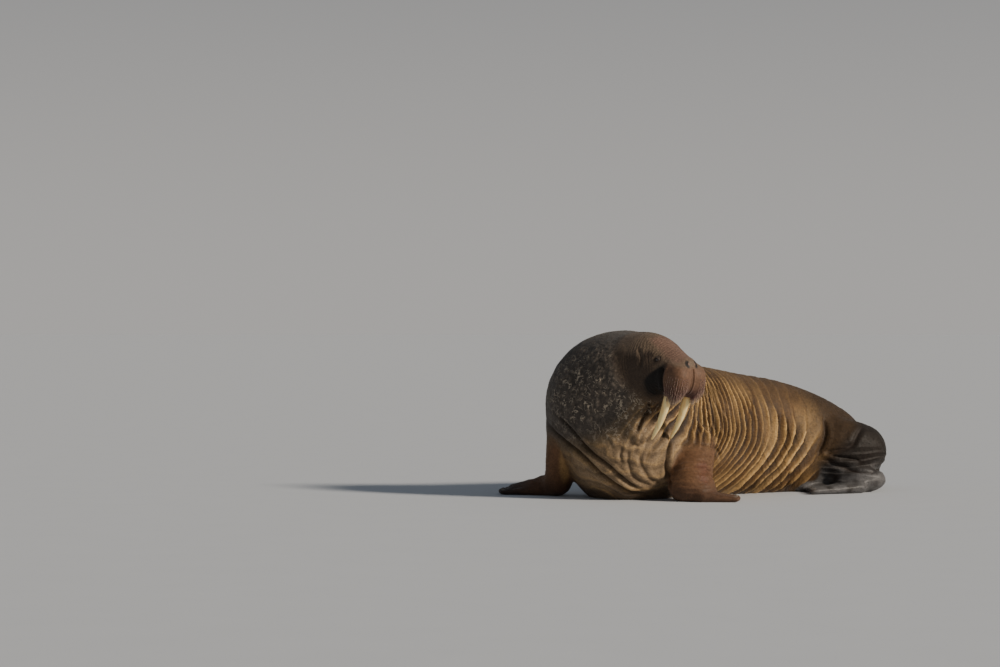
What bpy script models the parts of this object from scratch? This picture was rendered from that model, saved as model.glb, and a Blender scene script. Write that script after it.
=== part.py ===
# A resting bull walrus, life size, as a still museum model.
# Metres, +Z up. The animal lies on the floor, z = 0, with its hind end at +X.
# Its chest faces -Y and a little -X, and its head is turned to its left, towards +X.
# The flesh is one smooth field: negative inside, zero on the skin, in metres. Rounded forms with
# named sizes are blended into it, it is turned into a mesh, and thin cuts part it into its nodes.

import math
import random

import bpy
import bmesh
import numpy as np
from mathutils import Matrix, Vector

# Driving sizes
GAP = 0.0003  # between nodes that touch
FLOOR_SINK = 0.045  # how far the round belly would reach below the floor that flattens it
BODY_CELL = 0.024  # mesh sizes before thinning out
LIMB_CELL = 0.011
HEAD_CELL = 0.0075
MESH_TRIES = 4  # a mesh that touches itself is made again a little finer
PART_ORIGIN = (0.1180, 0.8400)  # the middle of the animal's box in plan, in the frame of the sizes below

# Spine from hips to chest: x, y, half width, height of the back, height of the widest point
SPINE = (
    (1.31, 1.385, 0.200, 0.440, 0.225),
    (1.18, 1.365, 0.262, 0.554, 0.250),
    (0.95, 1.300, 0.330, 0.676, 0.285),
    (0.66, 1.175, 0.385, 0.770, 0.320),
    (0.36, 1.005, 0.425, 0.824, 0.345),
    (0.05, 0.790, 0.445, 0.885, 0.365),
    (-0.20, 0.610, 0.430, 0.930, 0.380),
    (-0.40, 0.460, 0.390, 0.920, 0.390),
)
SPINE_STEPS = 8  # samples between two stations
RING_POWER = 2.3  # above 2, the body's section is a little squarer than an ellipse
HIP_CAP = 0.13  # how far the body rounds off beyond the first station
CHEST_CAP = 0.30  # and beyond the last one, inside the neck

# Head: its own frame has its origin between the eyes, with forward, left and up axes
BROW = (-0.133, -0.073, 0.945)
HEAD_YAW = 42.0  # from facing -Y towards +X
HEAD_PITCH = -14.0
EYE_RADIUS = 0.0185
EYE_FORWARD = -0.012  # from the middle between the eyes
EYE_UP = -0.024
EYE_SINK = 0.0135  # from the skin in to the middle of each eye
EYE_OPEN = 0.0150  # half length of the gap between the lids
LID_THICK = 0.0052
PAD_CENTRE = (0.140, 0.071, -0.119)
PAD_SIZE = (0.112, 0.078, 0.119)
PAD_POWER = 2.5
NOSTRIL_SIDE = 0.036
NOSTRIL_RADIUS = 0.0045

# Tusks, in the head's frame
TUSK_ROOT = (0.125, 0.089, -0.175)
TUSK_TIP = (0.050, 0.087, -0.537)
TUSK_BOW = 0.022
TUSK_RADIUS = 0.0275
TUSK_TIP_RADIUS = 0.0072
TUSK_SLIM = 0.86  # sideways thickness over fore-and-aft thickness
TUSK_TAPER = 2.9  # the higher, the longer it stays thick
TUSK_STEPS = 10
TUSK_SIDES = 12

# Whiskers: stiff bristles in rows on each pad
BRISTLES = 120  # tried on each pad; those that would meet a tusk, the chin or the floor line are left out
BRISTLE_RADIUS = 0.0017
BRISTLE_SHORT = 0.016
BRISTLE_LONG = 0.058
BRISTLE_SINK = 0.009
BRISTLE_CLEAR = 0.006  # kept between a bristle and the nodes beside its pad
BRISTLE_SIDES = 3
PAD_TRIANGLES = 620  # in each pad before its bristles are joined to it
SEED = 7

SKIN_BROWN = (0.20, 0.115, 0.062)
DARK_BROWN = (0.085, 0.058, 0.042)
FACE_BROWN = (0.165, 0.092, 0.062)
FLIPPER_BROWN = (0.115, 0.068, 0.042)
HIND_GREY = (0.070, 0.060, 0.055)
IVORY = (0.78, 0.67, 0.44)
EYE_BLACK = (0.012, 0.009, 0.008)


# Vectors and frames

def unit(v):
    v = np.asarray(v, float)
    return v / np.linalg.norm(v)


def frame_of(yaw, pitch=0.0):
    """Rows forward, left and up. Yaw 0 faces -Y, and a positive yaw turns towards +X."""
    yaw, pitch = math.radians(yaw), math.radians(pitch)
    forward = np.array([math.sin(yaw) * math.cos(pitch), -math.cos(yaw) * math.cos(pitch), math.sin(pitch)])
    left = np.array([math.cos(yaw), math.sin(yaw), 0.0])
    return np.array([forward, left, np.cross(forward, left)])


def smooth_line(rows, steps):
    """A Catmull-Rom curve through rows of numbers."""
    rows = np.array(rows, float)
    ends = np.vstack([2 * rows[0] - rows[1], rows, 2 * rows[-1] - rows[-2]])
    out = []
    for i in range(1, len(ends) - 2):
        p0, p1, p2, p3 = ends[i - 1:i + 3]
        for t in np.linspace(0, 1, steps, endpoint=False):
            bend = 2 * p0 - 5 * p1 + 4 * p2 - p3
            out.append(0.5 * (2 * p1 + (p2 - p0) * t + bend * t * t + (3 * p1 - p0 - 3 * p2 + p3) * t ** 3))
    out.append(rows[-1])
    return np.array(out)


HEAD_AXES = frame_of(HEAD_YAW, HEAD_PITCH)
SPINE_LINE = smooth_line(SPINE, SPINE_STEPS)


def head_point(forward, left, up):
    return np.array(BROW) + np.array([forward, left, up]) @ HEAD_AXES


# Fields: each takes points as rows and gives the distance to a form, negative inside

def blend(a, b, width):
    """The union of two fields, with a fillet about as wide as width."""
    share = np.clip(0.5 + 0.5 * (b - a) / width, 0.0, 1.0)
    return b + (a - b) * share - width * share * (1.0 - share)


def ellipsoid(p, centre, radii, axes=None):
    q = p - np.array(centre)
    if axes is not None:
        q = q @ axes.T
    r = np.array(radii)
    near = np.linalg.norm(q / r, axis=-1)
    far = np.linalg.norm(q / (r * r), axis=-1)
    return near * (near - 1.0) / np.maximum(far, 1e-9)


def cushion(p, centre, radii, power, axes):
    """Like an ellipsoid, and squarer the more power is above 2."""
    q = np.abs((p - np.array(centre)) @ axes.T) / np.array(radii)
    return (((q ** power).sum(-1) + 1e-12) ** (1 / power) - 1.0) * min(radii)


def taper(p, start, end, start_radius, end_radius, flat=1.0, flat_axis=(0, 0, 1)):
    """A tapered rod with round ends, thinner by the factor flat along flat_axis."""
    start, end = np.array(start, float), np.array(end, float)
    along = end - start
    q = p - start
    t = np.clip((q @ along) / (along @ along), 0.0, 1.0)
    off = q - t[:, None] * along
    axis = unit(flat_axis)
    off = off + ((off @ axis) * (1.0 / flat - 1.0))[:, None] * axis
    return (np.linalg.norm(off, axis=-1) - start_radius - (end_radius - start_radius) * t) * flat


def trunk_field(p):
    """The body from hips to chest: ovals along the spine, flat where they would pass the floor."""
    line = SPINE_LINE
    near = ((p[:, None, :2] - line[None, :, :2]) ** 2).sum(-1).argmin(1)
    best = np.full(len(p), 1e9)
    lateral, beyond = np.zeros(len(p)), np.zeros(len(p))
    size = np.zeros((len(p), 3))
    last = len(line) - 2
    for step in (-1, 0):
        i = np.clip(near + step, 0, last)
        a, b = line[i], line[i + 1]
        ab = b[:, :2] - a[:, :2]
        length = np.linalg.norm(ab, axis=1)
        raw = ((p[:, :2] - a[:, :2]) * ab).sum(1) / length ** 2
        t = np.clip(raw, 0, 1)
        off = p[:, :2] - a[:, :2] - t[:, None] * ab
        distance = np.linalg.norm(off, axis=1)
        closer = distance < best - 1e-12
        side = (ab[:, 0] * off[:, 1] - ab[:, 1] * off[:, 0]) / length
        over = np.where((i == 0) & (raw < 0), raw * length, 0.0)
        over = np.where((i == last) & (raw > 1), (raw - 1) * length, over)
        best = np.where(closer, distance, best)
        lateral = np.where(closer, side, lateral)
        beyond = np.where(closer, over, beyond)
        size = np.where(closer[:, None], a[:, 2:] + t[:, None] * (b - a)[:, 2:], size)
    wide, top, middle = size.T
    up = p[:, 2] - middle
    high = np.where(up > 0, top - middle, middle + FLOOR_SINK)
    cap = np.where(beyond < 0, HIP_CAP, CHEST_CAP)
    power = RING_POWER
    q = np.abs(lateral / wide) ** power + np.abs(up / high) ** power + np.abs(beyond / cap) ** power
    return ((q + 1e-12) ** (1 / power) - 1.0) * np.minimum(wide, high) * 0.9


def neck_field(p):
    ball = ellipsoid(p, (-0.437, 0.430, 0.617), (0.497, 0.440, 0.493))
    chest = ellipsoid(p, (-0.37, 0.43, 0.32), (0.43, 0.46, 0.37))
    nape = ellipsoid(p, (-0.35, 0.22, 0.815), (0.31, 0.30, 0.275))
    return blend(blend(ball, chest, 0.08), nape, 0.12)


def head_field(p):
    axes = HEAD_AXES
    d = ellipsoid(p, head_point(-0.13, 0, -0.065), (0.27, 0.160, 0.163), axes)
    d = blend(d, ellipsoid(p, head_point(-0.20, 0, -0.13), (0.25, 0.20, 0.21), axes), 0.10)
    for side in (-1, 1):
        d = blend(d, ellipsoid(p, head_point(-0.07, side * 0.068, -0.11), (0.15, 0.082, 0.12), axes), 0.05)
        d = blend(d, ellipsoid(p, head_point(-0.025, side * 0.080, -0.008), (0.055, 0.036, 0.034), axes), 0.035)
    d = blend(d, ellipsoid(p, head_point(0.075, 0, -0.052), (0.140, 0.106, 0.096), axes), 0.05)
    d = blend(d, ellipsoid(p, head_point(0.125, 0, -0.115), (0.108, 0.070, 0.105), axes), 0.03)
    for side in (-1, 1):
        centre = head_point(PAD_CENTRE[0], side * PAD_CENTRE[1], PAD_CENTRE[2])
        d = blend(d, cushion(p, centre, PAD_SIZE, PAD_POWER, axes), 0.030)
    d = blend(d, ellipsoid(p, head_point(0.150, 0, -0.012), (0.050, 0.060, 0.044), axes), 0.030)
    return blend(d, chin_field(p), 0.02)


def chin_field(p):
    return ellipsoid(p, head_point(0.085, 0, -0.232), (0.072, 0.054, 0.045), HEAD_AXES)


def digit_line(hand, place):
    """Root, tip and radii of a hand's digit, or at a half place of the web between two digits."""
    heel, yaw, length, spread, width, shares, radius, tip_radius, flat = hand
    last = len(shares) - 1
    side = 2 * place / last - 1
    web = place % 1 != 0
    share = shares[int(place)] * 0.5 + shares[min(int(place) + 1, last)] * 0.5 if web else shares[int(place)]
    size = WEB_THIN if web else 1.0
    root = np.array([heel[0], heel[1], 0.0]) + frame_of(yaw)[1] * side * width / 2
    tip = root + frame_of(yaw + side * spread / 2)[0] * length * share * (WEB_SHORT if web else 1.0)
    root[2], tip[2] = radius * size * flat, tip_radius * size * flat
    return root, tip, radius * size, tip_radius * size


def hand_field(p, hand):
    """A flipper's hand, flat on the floor: digits that fan out from the heel, with a thinner web between."""
    d = None
    for i in range(2 * len(hand[5]) - 1):
        finger = taper(p, *digit_line(hand, i / 2), hand[8])
        d = finger if d is None else blend(d, finger, WEB_BLEND)
    return d


# Each hand: heel, yaw, length, spread, width, digits' shares of the length, radii at root and tip, flatness
FORE_LEFT_HAND = ((0.07, 0.02), 100, 0.27, 30, 0.15, (0.78, 0.86, 0.93, 1.0, 0.98), 0.040, 0.022, 0.85)
FORE_RIGHT_HAND = ((-0.87, 0.69), -112, 0.42, 24, 0.15, (1.0, 0.98, 0.92, 0.85, 0.78), 0.042, 0.020, 0.85)
HIND_LEFT_HAND = ((1.21, 0.945), -82, 0.37, 36, 0.19, (1.0, 0.92, 0.88, 0.92, 1.0), 0.048, 0.026, 0.8)
HIND_RIGHT_HAND = ((1.19, 1.700), -101, 0.37, 36, 0.19, (1.0, 0.92, 0.88, 0.92, 1.0), 0.048, 0.026, 0.8)
WEB_THIN = 0.66
WEB_SHORT = 0.95
WEB_BLEND = 0.030
CLAW_LENGTH = 0.026
CLAW_RADIUS = 0.0055


def fore_left_field(p):
    arm = taper(p, (0.045, 0.28, 0.33), (0.014, 0.060, 0.12), 0.145, 0.138, 0.82, (0, 1, 0))
    wrist = ellipsoid(p, (0.02, 0.040, 0.08), (0.148, 0.11, 0.10))
    return blend(blend(arm, wrist, 0.05), hand_field(p, FORE_LEFT_HAND), 0.05)


def fore_right_field(p):
    arm = taper(p, (-0.800, 0.43, 0.44), (-0.845, 0.56, 0.10), 0.125, 0.092, 0.9, (0, 1, 0))
    wrist = taper(p, (-0.855, 0.61, 0.085), (-1.13, 0.79, 0.035), 0.090, 0.042, 0.85)
    return blend(blend(arm, wrist, 0.05), hand_field(p, FORE_RIGHT_HAND), 0.05)


def hind_left_field(p):
    heel = ellipsoid(p, (1.250, 1.13, 0.282), (0.204, 0.19, 0.188))
    shin = ellipsoid(p, (1.09, 1.09, 0.28), (0.21, 0.18, 0.23))
    sole = ellipsoid(p, (1.245, 0.99, 0.085), (0.185, 0.115, 0.095))
    leg = blend(blend(heel, shin, 0.10), sole, 0.035)
    return blend(leg, hand_field(p, HIND_LEFT_HAND), 0.045)


def hind_right_field(p):
    heel = ellipsoid(p, (1.20, 1.59, 0.235), (0.19, 0.18, 0.165))
    sole = ellipsoid(p, (1.21, 1.68, 0.085), (0.18, 0.12, 0.095))
    return blend(blend(heel, sole, 0.05), hand_field(p, HIND_RIGHT_HAND), 0.045)


def tail_field(p):
    return taper(p, (1.36, 1.40, 0.27), (1.462, 1.43, 0.25), 0.07, 0.024, 0.6)


def walrus_field(p):
    d = blend(trunk_field(p), neck_field(p), 0.12)
    d = blend(d, head_field(p), 0.05)
    for limb in (fore_left_field, fore_right_field, hind_left_field, hind_right_field):
        d = blend(d, limb(p), 0.05)
    return blend(d, tail_field(p), 0.04)


# From a field to a mesh

def in_chunks(field, points, most=300000):
    out = np.empty(len(points))
    for i in range(0, len(points), most):
        out[i:i + most] = field(points[i:i + most])
    return out


def grid_values(field, axes, cell, stride=4):
    """Field values on a grid: exact near the skin, and from a coarser grid elsewhere."""
    coarse = [a[::stride] for a in axes]
    corners = np.stack(np.meshgrid(*coarse, indexing="ij"), -1).reshape(-1, 3)
    rough = in_chunks(field, corners).reshape([len(c) for c in coarse])
    pick = [np.minimum((np.arange(len(a)) + stride // 2) // stride, len(c) - 1) for a, c in zip(axes, coarse)]
    value = rough[np.ix_(*pick)].copy()
    near = np.argwhere(np.abs(value) < cell * stride * 1.3)
    points = np.stack([axes[k][near[:, k]] for k in range(3)], 1)
    value[near[:, 0], near[:, 1], near[:, 2]] = in_chunks(field, points)
    return value


def settle(field, points, most):
    """Moves points along the field's slope on to the skin, by no more than most."""
    value = in_chunks(field, points)
    slope = np.empty_like(points)
    step = 1e-3
    for k in range(3):
        shift = np.zeros(3)
        shift[k] = step
        slope[:, k] = (in_chunks(field, points + shift) - in_chunks(field, points - shift)) / (2 * step)
    move = -value[:, None] * slope / np.maximum((slope * slope).sum(1), 1e-6)[:, None]
    size = np.linalg.norm(move, axis=1)
    return points + move * np.minimum(1, most / np.maximum(size, 1e-9))[:, None]


def surface_net(field, low, high, cell):
    """The skin of a field in a box, as points and four-sided faces that point outwards."""
    low = np.array(low, float)
    count = np.ceil((np.array(high) - low) / cell).astype(int) + 1
    axes = [low[k] + cell * np.arange(count[k]) for k in range(3)]
    value = grid_values(field, axes, cell)
    cells = count - 1
    total, hits = np.zeros((*cells, 3)), np.zeros(cells)
    for axis in range(3):
        o1, o2 = [k for k in range(3) if k != axis]
        a = np.take(value, range(cells[axis]), axis)
        b = np.take(value, range(1, count[axis]), axis)
        cross = (a < 0) != (b < 0)
        t = np.where(cross, a / np.where(a == b, 1, a - b), 0)
        for c1, c2 in ((0, 0), (0, 1), (1, 0), (1, 1)):
            part = [slice(None)] * 3
            part[o1], part[o2] = slice(c1, c1 + cells[o1]), slice(c2, c2 + cells[o2])
            hit = cross[tuple(part)]
            hits += hit
            total[..., axis] += np.where(hit, t[tuple(part)], 0)
            total[..., o1] += hit * c1
            total[..., o2] += hit * c2
    active = hits > 0
    index = np.full(cells, -1)
    index[active] = np.arange(active.sum())
    points = low + cell * (np.argwhere(active) + total[active] / hits[active][:, None])
    faces = []
    for axis in range(3):
        o1, o2 = [k for k in range(3) if k != axis]
        inside = np.take(value, range(cells[axis]), axis) < 0
        edge = np.argwhere(inside != (np.take(value, range(1, count[axis]), axis) < 0))
        edge = edge[(edge[:, o1] > 0) & (edge[:, o2] > 0) & (edge[:, o1] < cells[o1]) & (edge[:, o2] < cells[o2])]
        corners = []
        for s1, s2 in ((-1, -1), (0, -1), (0, 0), (-1, 0)):
            at = edge.copy()
            at[:, o1] += s1
            at[:, o2] += s2
            corners.append(index[at[:, 0], at[:, 1], at[:, 2]])
        face = np.stack(corners, 1)
        turned = inside[edge[:, 0], edge[:, 1], edge[:, 2]] == (axis == 1)
        face[turned] = face[turned][:, ::-1]
        faces.append(face)
    for _ in range(2):
        points = settle(field, points, cell * 0.4)
    return points, np.concatenate(faces)


# Objects, cuts and unions

def make_object(name, points, faces):
    mesh = bpy.data.meshes.new(name)
    mesh.from_pydata([tuple(p) for p in points], [], [tuple(f) for f in faces])
    obj = bpy.data.objects.new(name, mesh)
    bpy.context.scene.collection.objects.link(obj)
    return obj


def apply_modifiers(obj):
    graph = bpy.context.evaluated_depsgraph_get()
    mesh = bpy.data.meshes.new_from_object(obj.evaluated_get(graph))
    obj.modifiers.clear()
    old = obj.data
    obj.data = mesh
    bpy.data.meshes.remove(old)


def remove_object(obj):
    mesh = obj.data
    bpy.data.objects.remove(obj)
    bpy.data.meshes.remove(mesh)


def keep_largest(obj):
    """Keeps only the closed surface that holds the most, as faces joined edge to edge."""
    bm = bmesh.new()
    bm.from_mesh(obj.data)
    bmesh.ops.triangulate(bm, faces=bm.faces)
    left = set(bm.faces)
    groups = []
    while left:
        stack, group, volume = [left.pop()], [], 0.0
        while stack:
            face = stack.pop()
            group.append(face)
            a, b, c = (vert.co for vert in face.verts)
            volume += a.dot(b.cross(c)) / 6
            for edge in face.edges:
                for other in edge.link_faces:
                    if other in left and len(edge.link_faces) == 2:
                        left.remove(other)
                        stack.append(other)
        groups.append((volume, len(groups), group))
    groups.sort(reverse=True)
    for _, _, group in groups[1:]:
        bmesh.ops.delete(bm, geom=group, context="FACES")
    loose = [vert for vert in bm.verts if not vert.link_faces]
    bmesh.ops.delete(bm, geom=loose, context="VERTS")
    bm.to_mesh(obj.data)
    bm.free()


def is_closed(obj):
    """True where there are faces, and each edge joins two, so that the surface doesn't touch itself."""
    bm = bmesh.new()
    bm.from_mesh(obj.data)
    whole = len(bm.faces) > 0 and all(len(edge.link_faces) == 2 for edge in bm.edges)
    bm.free()
    return whole


def boolean(obj, other, operation):
    """One Boolean, applied. Where the exact solver leaves nothing or an open edge, the manifold one does it."""
    before = obj.data.copy()
    for solver in ("EXACT", "MANIFOLD"):
        mod = obj.modifiers.new("cut", "BOOLEAN")
        mod.operation = operation
        mod.object = other
        mod.solver = solver
        apply_modifiers(obj)
        if is_closed(obj) or solver == "MANIFOLD":
            break
        obj.data = before.copy()
    bpy.data.meshes.remove(before)


def box_object(region, grow):
    """A region is a centre, three axes as rows, and the half sizes along them."""
    centre, axes, half = region
    bm = bmesh.new()
    bmesh.ops.create_cube(bm, size=2.0)
    mesh = bpy.data.meshes.new("region")
    bm.to_mesh(mesh)
    bm.free()
    sizes = [h + grow for h in half]
    place = Matrix(np.array(axes).T.tolist()).to_4x4() @ Matrix.Diagonal((*sizes, 1))
    place.translation = Vector(centre)
    mesh.transform(place)
    if place.determinant() < 0:
        mesh.flip_normals()
    obj = bpy.data.objects.new("region", mesh)
    bpy.context.scene.collection.objects.link(obj)
    return obj


def keep_inside(obj, region):
    box = box_object(region, -GAP / 2)
    boolean(obj, box, "INTERSECT")
    remove_object(box)
    keep_largest(obj)


def keep_outside(obj, region):
    box = box_object(region, GAP / 2)
    boolean(obj, box, "DIFFERENCE")
    remove_object(box)
    keep_largest(obj)


def copy_of(obj, name):
    twin = bpy.data.objects.new(name, obj.data.copy())
    bpy.context.scene.collection.objects.link(twin)
    return twin


def thin_out(obj, triangles):
    bm = bmesh.new()
    bm.from_mesh(obj.data)
    bmesh.ops.triangulate(bm, faces=bm.faces)
    bm.to_mesh(obj.data)
    bm.free()
    mod = obj.modifiers.new("thin", "DECIMATE")
    mod.ratio = min(1.0, triangles / len(obj.data.polygons))
    apply_modifiers(obj)


def region_mesh(name, region, cell, triangles):
    """The flesh inside a region, meshed finely, then cut by the region's own faces."""
    centre, axes, half = (np.array(v, float) for v in region)
    margin = 3 * cell

    def field(p):
        q = np.abs((p - centre) @ axes.T) - half - margin
        return np.maximum(walrus_field(p), q.max(1))

    reach = np.abs(axes).T @ (half + 2 * margin)
    for attempt in range(MESH_TRIES):
        fine = cell * (1 - 0.03 * attempt)
        obj = make_object(name, *surface_net(field, centre - reach, centre + reach, fine))
        thin_out(obj, triangles)
        keep_inside(obj, region)
        if is_closed(obj):
            break
        remove_object(obj)
    return obj


FLOOR = ((0, 0, -1.0), np.eye(3), (5, 5, 1.0 - GAP / 2))


def shade(obj, angle=40):
    obj.data.shade_smooth()
    obj.data.set_sharp_from_angle(angle=math.radians(angle))


def finish_with(name, colour, roughness, *objects):
    material = bpy.data.materials.new(name)
    material.use_nodes = True
    shader = material.node_tree.nodes["Principled BSDF"]
    shader.inputs["Base Color"].default_value = (*colour, 1)
    shader.inputs["Roughness"].default_value = roughness
    shader.inputs["Metallic"].default_value = 0.0
    for obj in objects:
        obj.data.materials.clear()
        obj.data.materials.append(material)
        shade(obj)


# Small forms made as tubes

def tube(name, points, radii, sides, slim=1.0, slim_axis=None):
    """A closed tube along points, with a ring at each. Its section is slim along slim_axis."""
    points = [np.array(p, float) for p in points]
    verts, faces = [], []
    normal = np.array([0.0, 0.0, 1.0]) if slim_axis is None else unit(slim_axis)
    for i, (point, radius) in enumerate(zip(points, radii)):
        ahead = unit(points[min(i + 1, len(points) - 1)] - points[max(i - 1, 0)])
        flat = normal - ahead * (normal @ ahead)
        if np.linalg.norm(flat) < 1e-3:
            flat = np.cross(ahead, (1.0, 0.0, 0.0))
        flat = unit(flat)
        across = np.cross(ahead, flat)
        for k in range(sides):
            angle = 2 * math.pi * k / sides
            verts.append(point + radius * (slim * math.cos(angle) * flat + math.sin(angle) * across))
    rings = len(points)
    for i in range(rings - 1):
        for k in range(sides):
            n = (k + 1) % sides
            faces.append((i * sides + k, i * sides + n, (i + 1) * sides + n, (i + 1) * sides + k))
    faces.append(tuple(reversed(range(sides))))
    faces.append(tuple((rings - 1) * sides + k for k in range(sides)))
    obj = make_object(name, verts, faces)
    bm = bmesh.new()
    bm.from_mesh(obj.data)
    bmesh.ops.recalc_face_normals(bm, faces=bm.faces)
    bm.to_mesh(obj.data)
    bm.free()
    return obj


def tusk_line(side, start=0.0, grow=0.0):
    root = head_point(TUSK_ROOT[0], side * TUSK_ROOT[1], TUSK_ROOT[2])
    tip = head_point(TUSK_TIP[0], side * TUSK_TIP[1], TUSK_TIP[2])
    points, radii = [], []
    for t in np.linspace(start, 1, TUSK_STEPS + 1):
        points.append(root + (tip - root) * t + 4 * TUSK_BOW * t * (1 - t) * HEAD_AXES[0])
        radii.append((TUSK_RADIUS - TUSK_TIP_RADIUS) * (1 - max(t, 0) ** TUSK_TAPER) + TUSK_TIP_RADIUS + grow)
    return points, radii


def make_tusk(name, side):
    points, radii = tusk_line(side)
    end = points[-1] + unit(points[-1] - points[-2]) * TUSK_TIP_RADIUS * 0.8
    return tube(name, points + [end], radii + [TUSK_TIP_RADIUS * 0.45], TUSK_SIDES, TUSK_SLIM, HEAD_AXES[1])


def make_socket(side):
    """The hollow that a tusk leaves its pad by, a hair wider than the tusk."""
    points, radii = tusk_line(side, grow=GAP)
    start = points[0] - unit(points[1] - points[0]) * GAP
    return tube("socket", [start] + points[:5], [radii[0]] + radii[:5], TUSK_SIDES, TUSK_SLIM + 0.004, HEAD_AXES[1])


def skin_point(start, direction, reach=0.4):
    """Where a line from a point inside the flesh comes out through the skin."""
    low, high = 0.0, reach
    for _ in range(26):
        middle = (low + high) / 2
        if walrus_field((start + direction * middle)[None])[0] < 0:
            low = middle
        else:
            high = middle
    return start + direction * low


def eye_out(side):
    return unit(np.array([0.28, side * 1.0, 0.08]) @ HEAD_AXES)


def eye_centre(side):
    out = eye_out(side)
    return skin_point(head_point(EYE_FORWARD, side * 0.03, EYE_UP), out, 0.2) - out * EYE_SINK


def eye_axes(side):
    """Forward along the lids' gap, outwards, and up."""
    out = eye_out(side)
    along = unit(HEAD_AXES[0] - out * (HEAD_AXES[0] @ out))
    return along, out, np.cross(out, along) * side


def ball(name, centre, radius, rings=8):
    bm = bmesh.new()
    bmesh.ops.create_uvsphere(bm, u_segments=2 * rings, v_segments=rings, radius=radius)
    bmesh.ops.translate(bm, verts=bm.verts, vec=Vector(centre))
    mesh = bpy.data.meshes.new(name)
    bm.to_mesh(mesh)
    bm.free()
    obj = bpy.data.objects.new(name, mesh)
    bpy.context.scene.collection.objects.link(obj)
    return obj


def lid(side, above):
    """A lid is a tapered roll that follows the ball of the eye from corner to corner."""
    along, out, up = eye_axes(side)
    centre = eye_centre(side)
    points, radii = [], []
    steps = 8
    for i in range(steps + 1):
        t = 2 * i / steps - 1
        height = above * (0.0098 if above > 0 else 0.0078) * (1 - t * t)
        reach = EYE_OPEN * 1.12 * t
        depth = math.sqrt(max((EYE_RADIUS + 0.0006) ** 2 - reach ** 2 - height ** 2, 1e-6))
        points.append(centre + along * reach + up * height + out * depth)
        radii.append(LID_THICK * (0.55 + 0.45 * (1 - t * t)))
    return tube("lid", points, radii, 6)


def join_all(obj, pieces, solver="EXACT"):
    """Fuses closed pieces into obj with one Boolean on their collection."""
    group = bpy.data.collections.new("pieces")
    for piece in pieces:
        group.objects.link(piece)
    mod = obj.modifiers.new("join", "BOOLEAN")
    mod.operation = "UNION"
    mod.operand_type = "COLLECTION"
    mod.collection = group
    mod.solver = solver
    apply_modifiers(obj)
    for piece in pieces:
        remove_object(piece)
    bpy.data.collections.remove(group)
    keep_largest(obj)


def nostril(side):
    """A crescent slit that opens forwards and outwards."""
    points, radii = [], []
    for t in np.linspace(-1, 1, 7):
        start = head_point(0.14, side * (NOSTRIL_SIDE + 0.010 * (1 - t * t)), 0.014 * t)
        points.append(skin_point(start, HEAD_AXES[0], 0.2))
        radii.append(NOSTRIL_RADIUS * (1.15 - 0.6 * t * t))
    return tube("nostril", points, radii, 6)


HANDS = (
    ("foreflipper_left", FORE_LEFT_HAND),
    ("foreflipper_right", FORE_RIGHT_HAND),
    ("hind_flipper_left", HIND_LEFT_HAND),
    ("hind_flipper_right", HIND_RIGHT_HAND),
)


def make_claws(hand):
    """A small claw on top of each digit, just short of its tip."""
    pieces = []
    for i in range(len(hand[5])):
        root, tip, _, tip_radius = digit_line(hand, i)
        ahead = unit(tip - root)
        top = tip + np.array([0, 0, tip_radius * hand[8] * 0.55])
        points = [top - ahead * CLAW_LENGTH, top, top + ahead * CLAW_LENGTH * 0.6 + (0, 0, -CLAW_RADIUS * 0.4)]
        points[1] = points[1] + (0, 0, CLAW_RADIUS * 0.9)
        pieces.append(tube("claw", points, [CLAW_RADIUS, CLAW_RADIUS, CLAW_RADIUS * 0.3], 5))
    return pieces


# Whiskers

def bristle(root, normal, lean, length):
    """A stiff tapered spine with its root sunk into the pad, bent down towards lean."""
    points, radii = [], []
    for t, share in ((0.0, 1.0), (0.5, 0.72), (1.0, 0.22)):
        out = unit(normal * (0.85 - 0.5 * t) + lean * (0.25 + 0.8 * t))
        start = root - normal * BRISTLE_SINK if t == 0 else root
        points.append(start + out * length * t)
        radii.append(BRISTLE_RADIUS * share)
    return points, radii


def clear_of_others(points, side):
    """True where a bristle stays off the tusks, the chin, the other pad and the nose."""
    samples = []
    for a, b in zip(points[:-1], points[1:]):
        for t in (0.25, 0.5, 0.75, 1.0):
            samples.append(a + (b - a) * t)
    samples = np.array(samples)
    centre, axes, half = PAD_REGION
    if (np.abs((points[:2] - centre) @ axes.T) > np.array(half) - BRISTLE_CLEAR).any():
        return False
    local = (samples - np.array(BROW)) @ HEAD_AXES.T
    if (local[:, 1] * side < BRISTLE_CLEAR).any():
        return False
    centre, axes, half = CHIN_REGION
    if (np.abs((samples - centre) @ axes.T) < np.array(half) + BRISTLE_CLEAR).all(1).any():
        return False
    samples = np.vstack([points[:1], samples])
    for tusk_side in (-1, 1):
        line, radii = tusk_line(tusk_side)
        for i in range(TUSK_STEPS):
            if (taper(samples, line[i], line[i + 1], radii[i], radii[i + 1]) < BRISTLE_CLEAR).any():
                return False
    outer = samples[4:]
    return not (walrus_field(outer) < 0.002).any()


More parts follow.
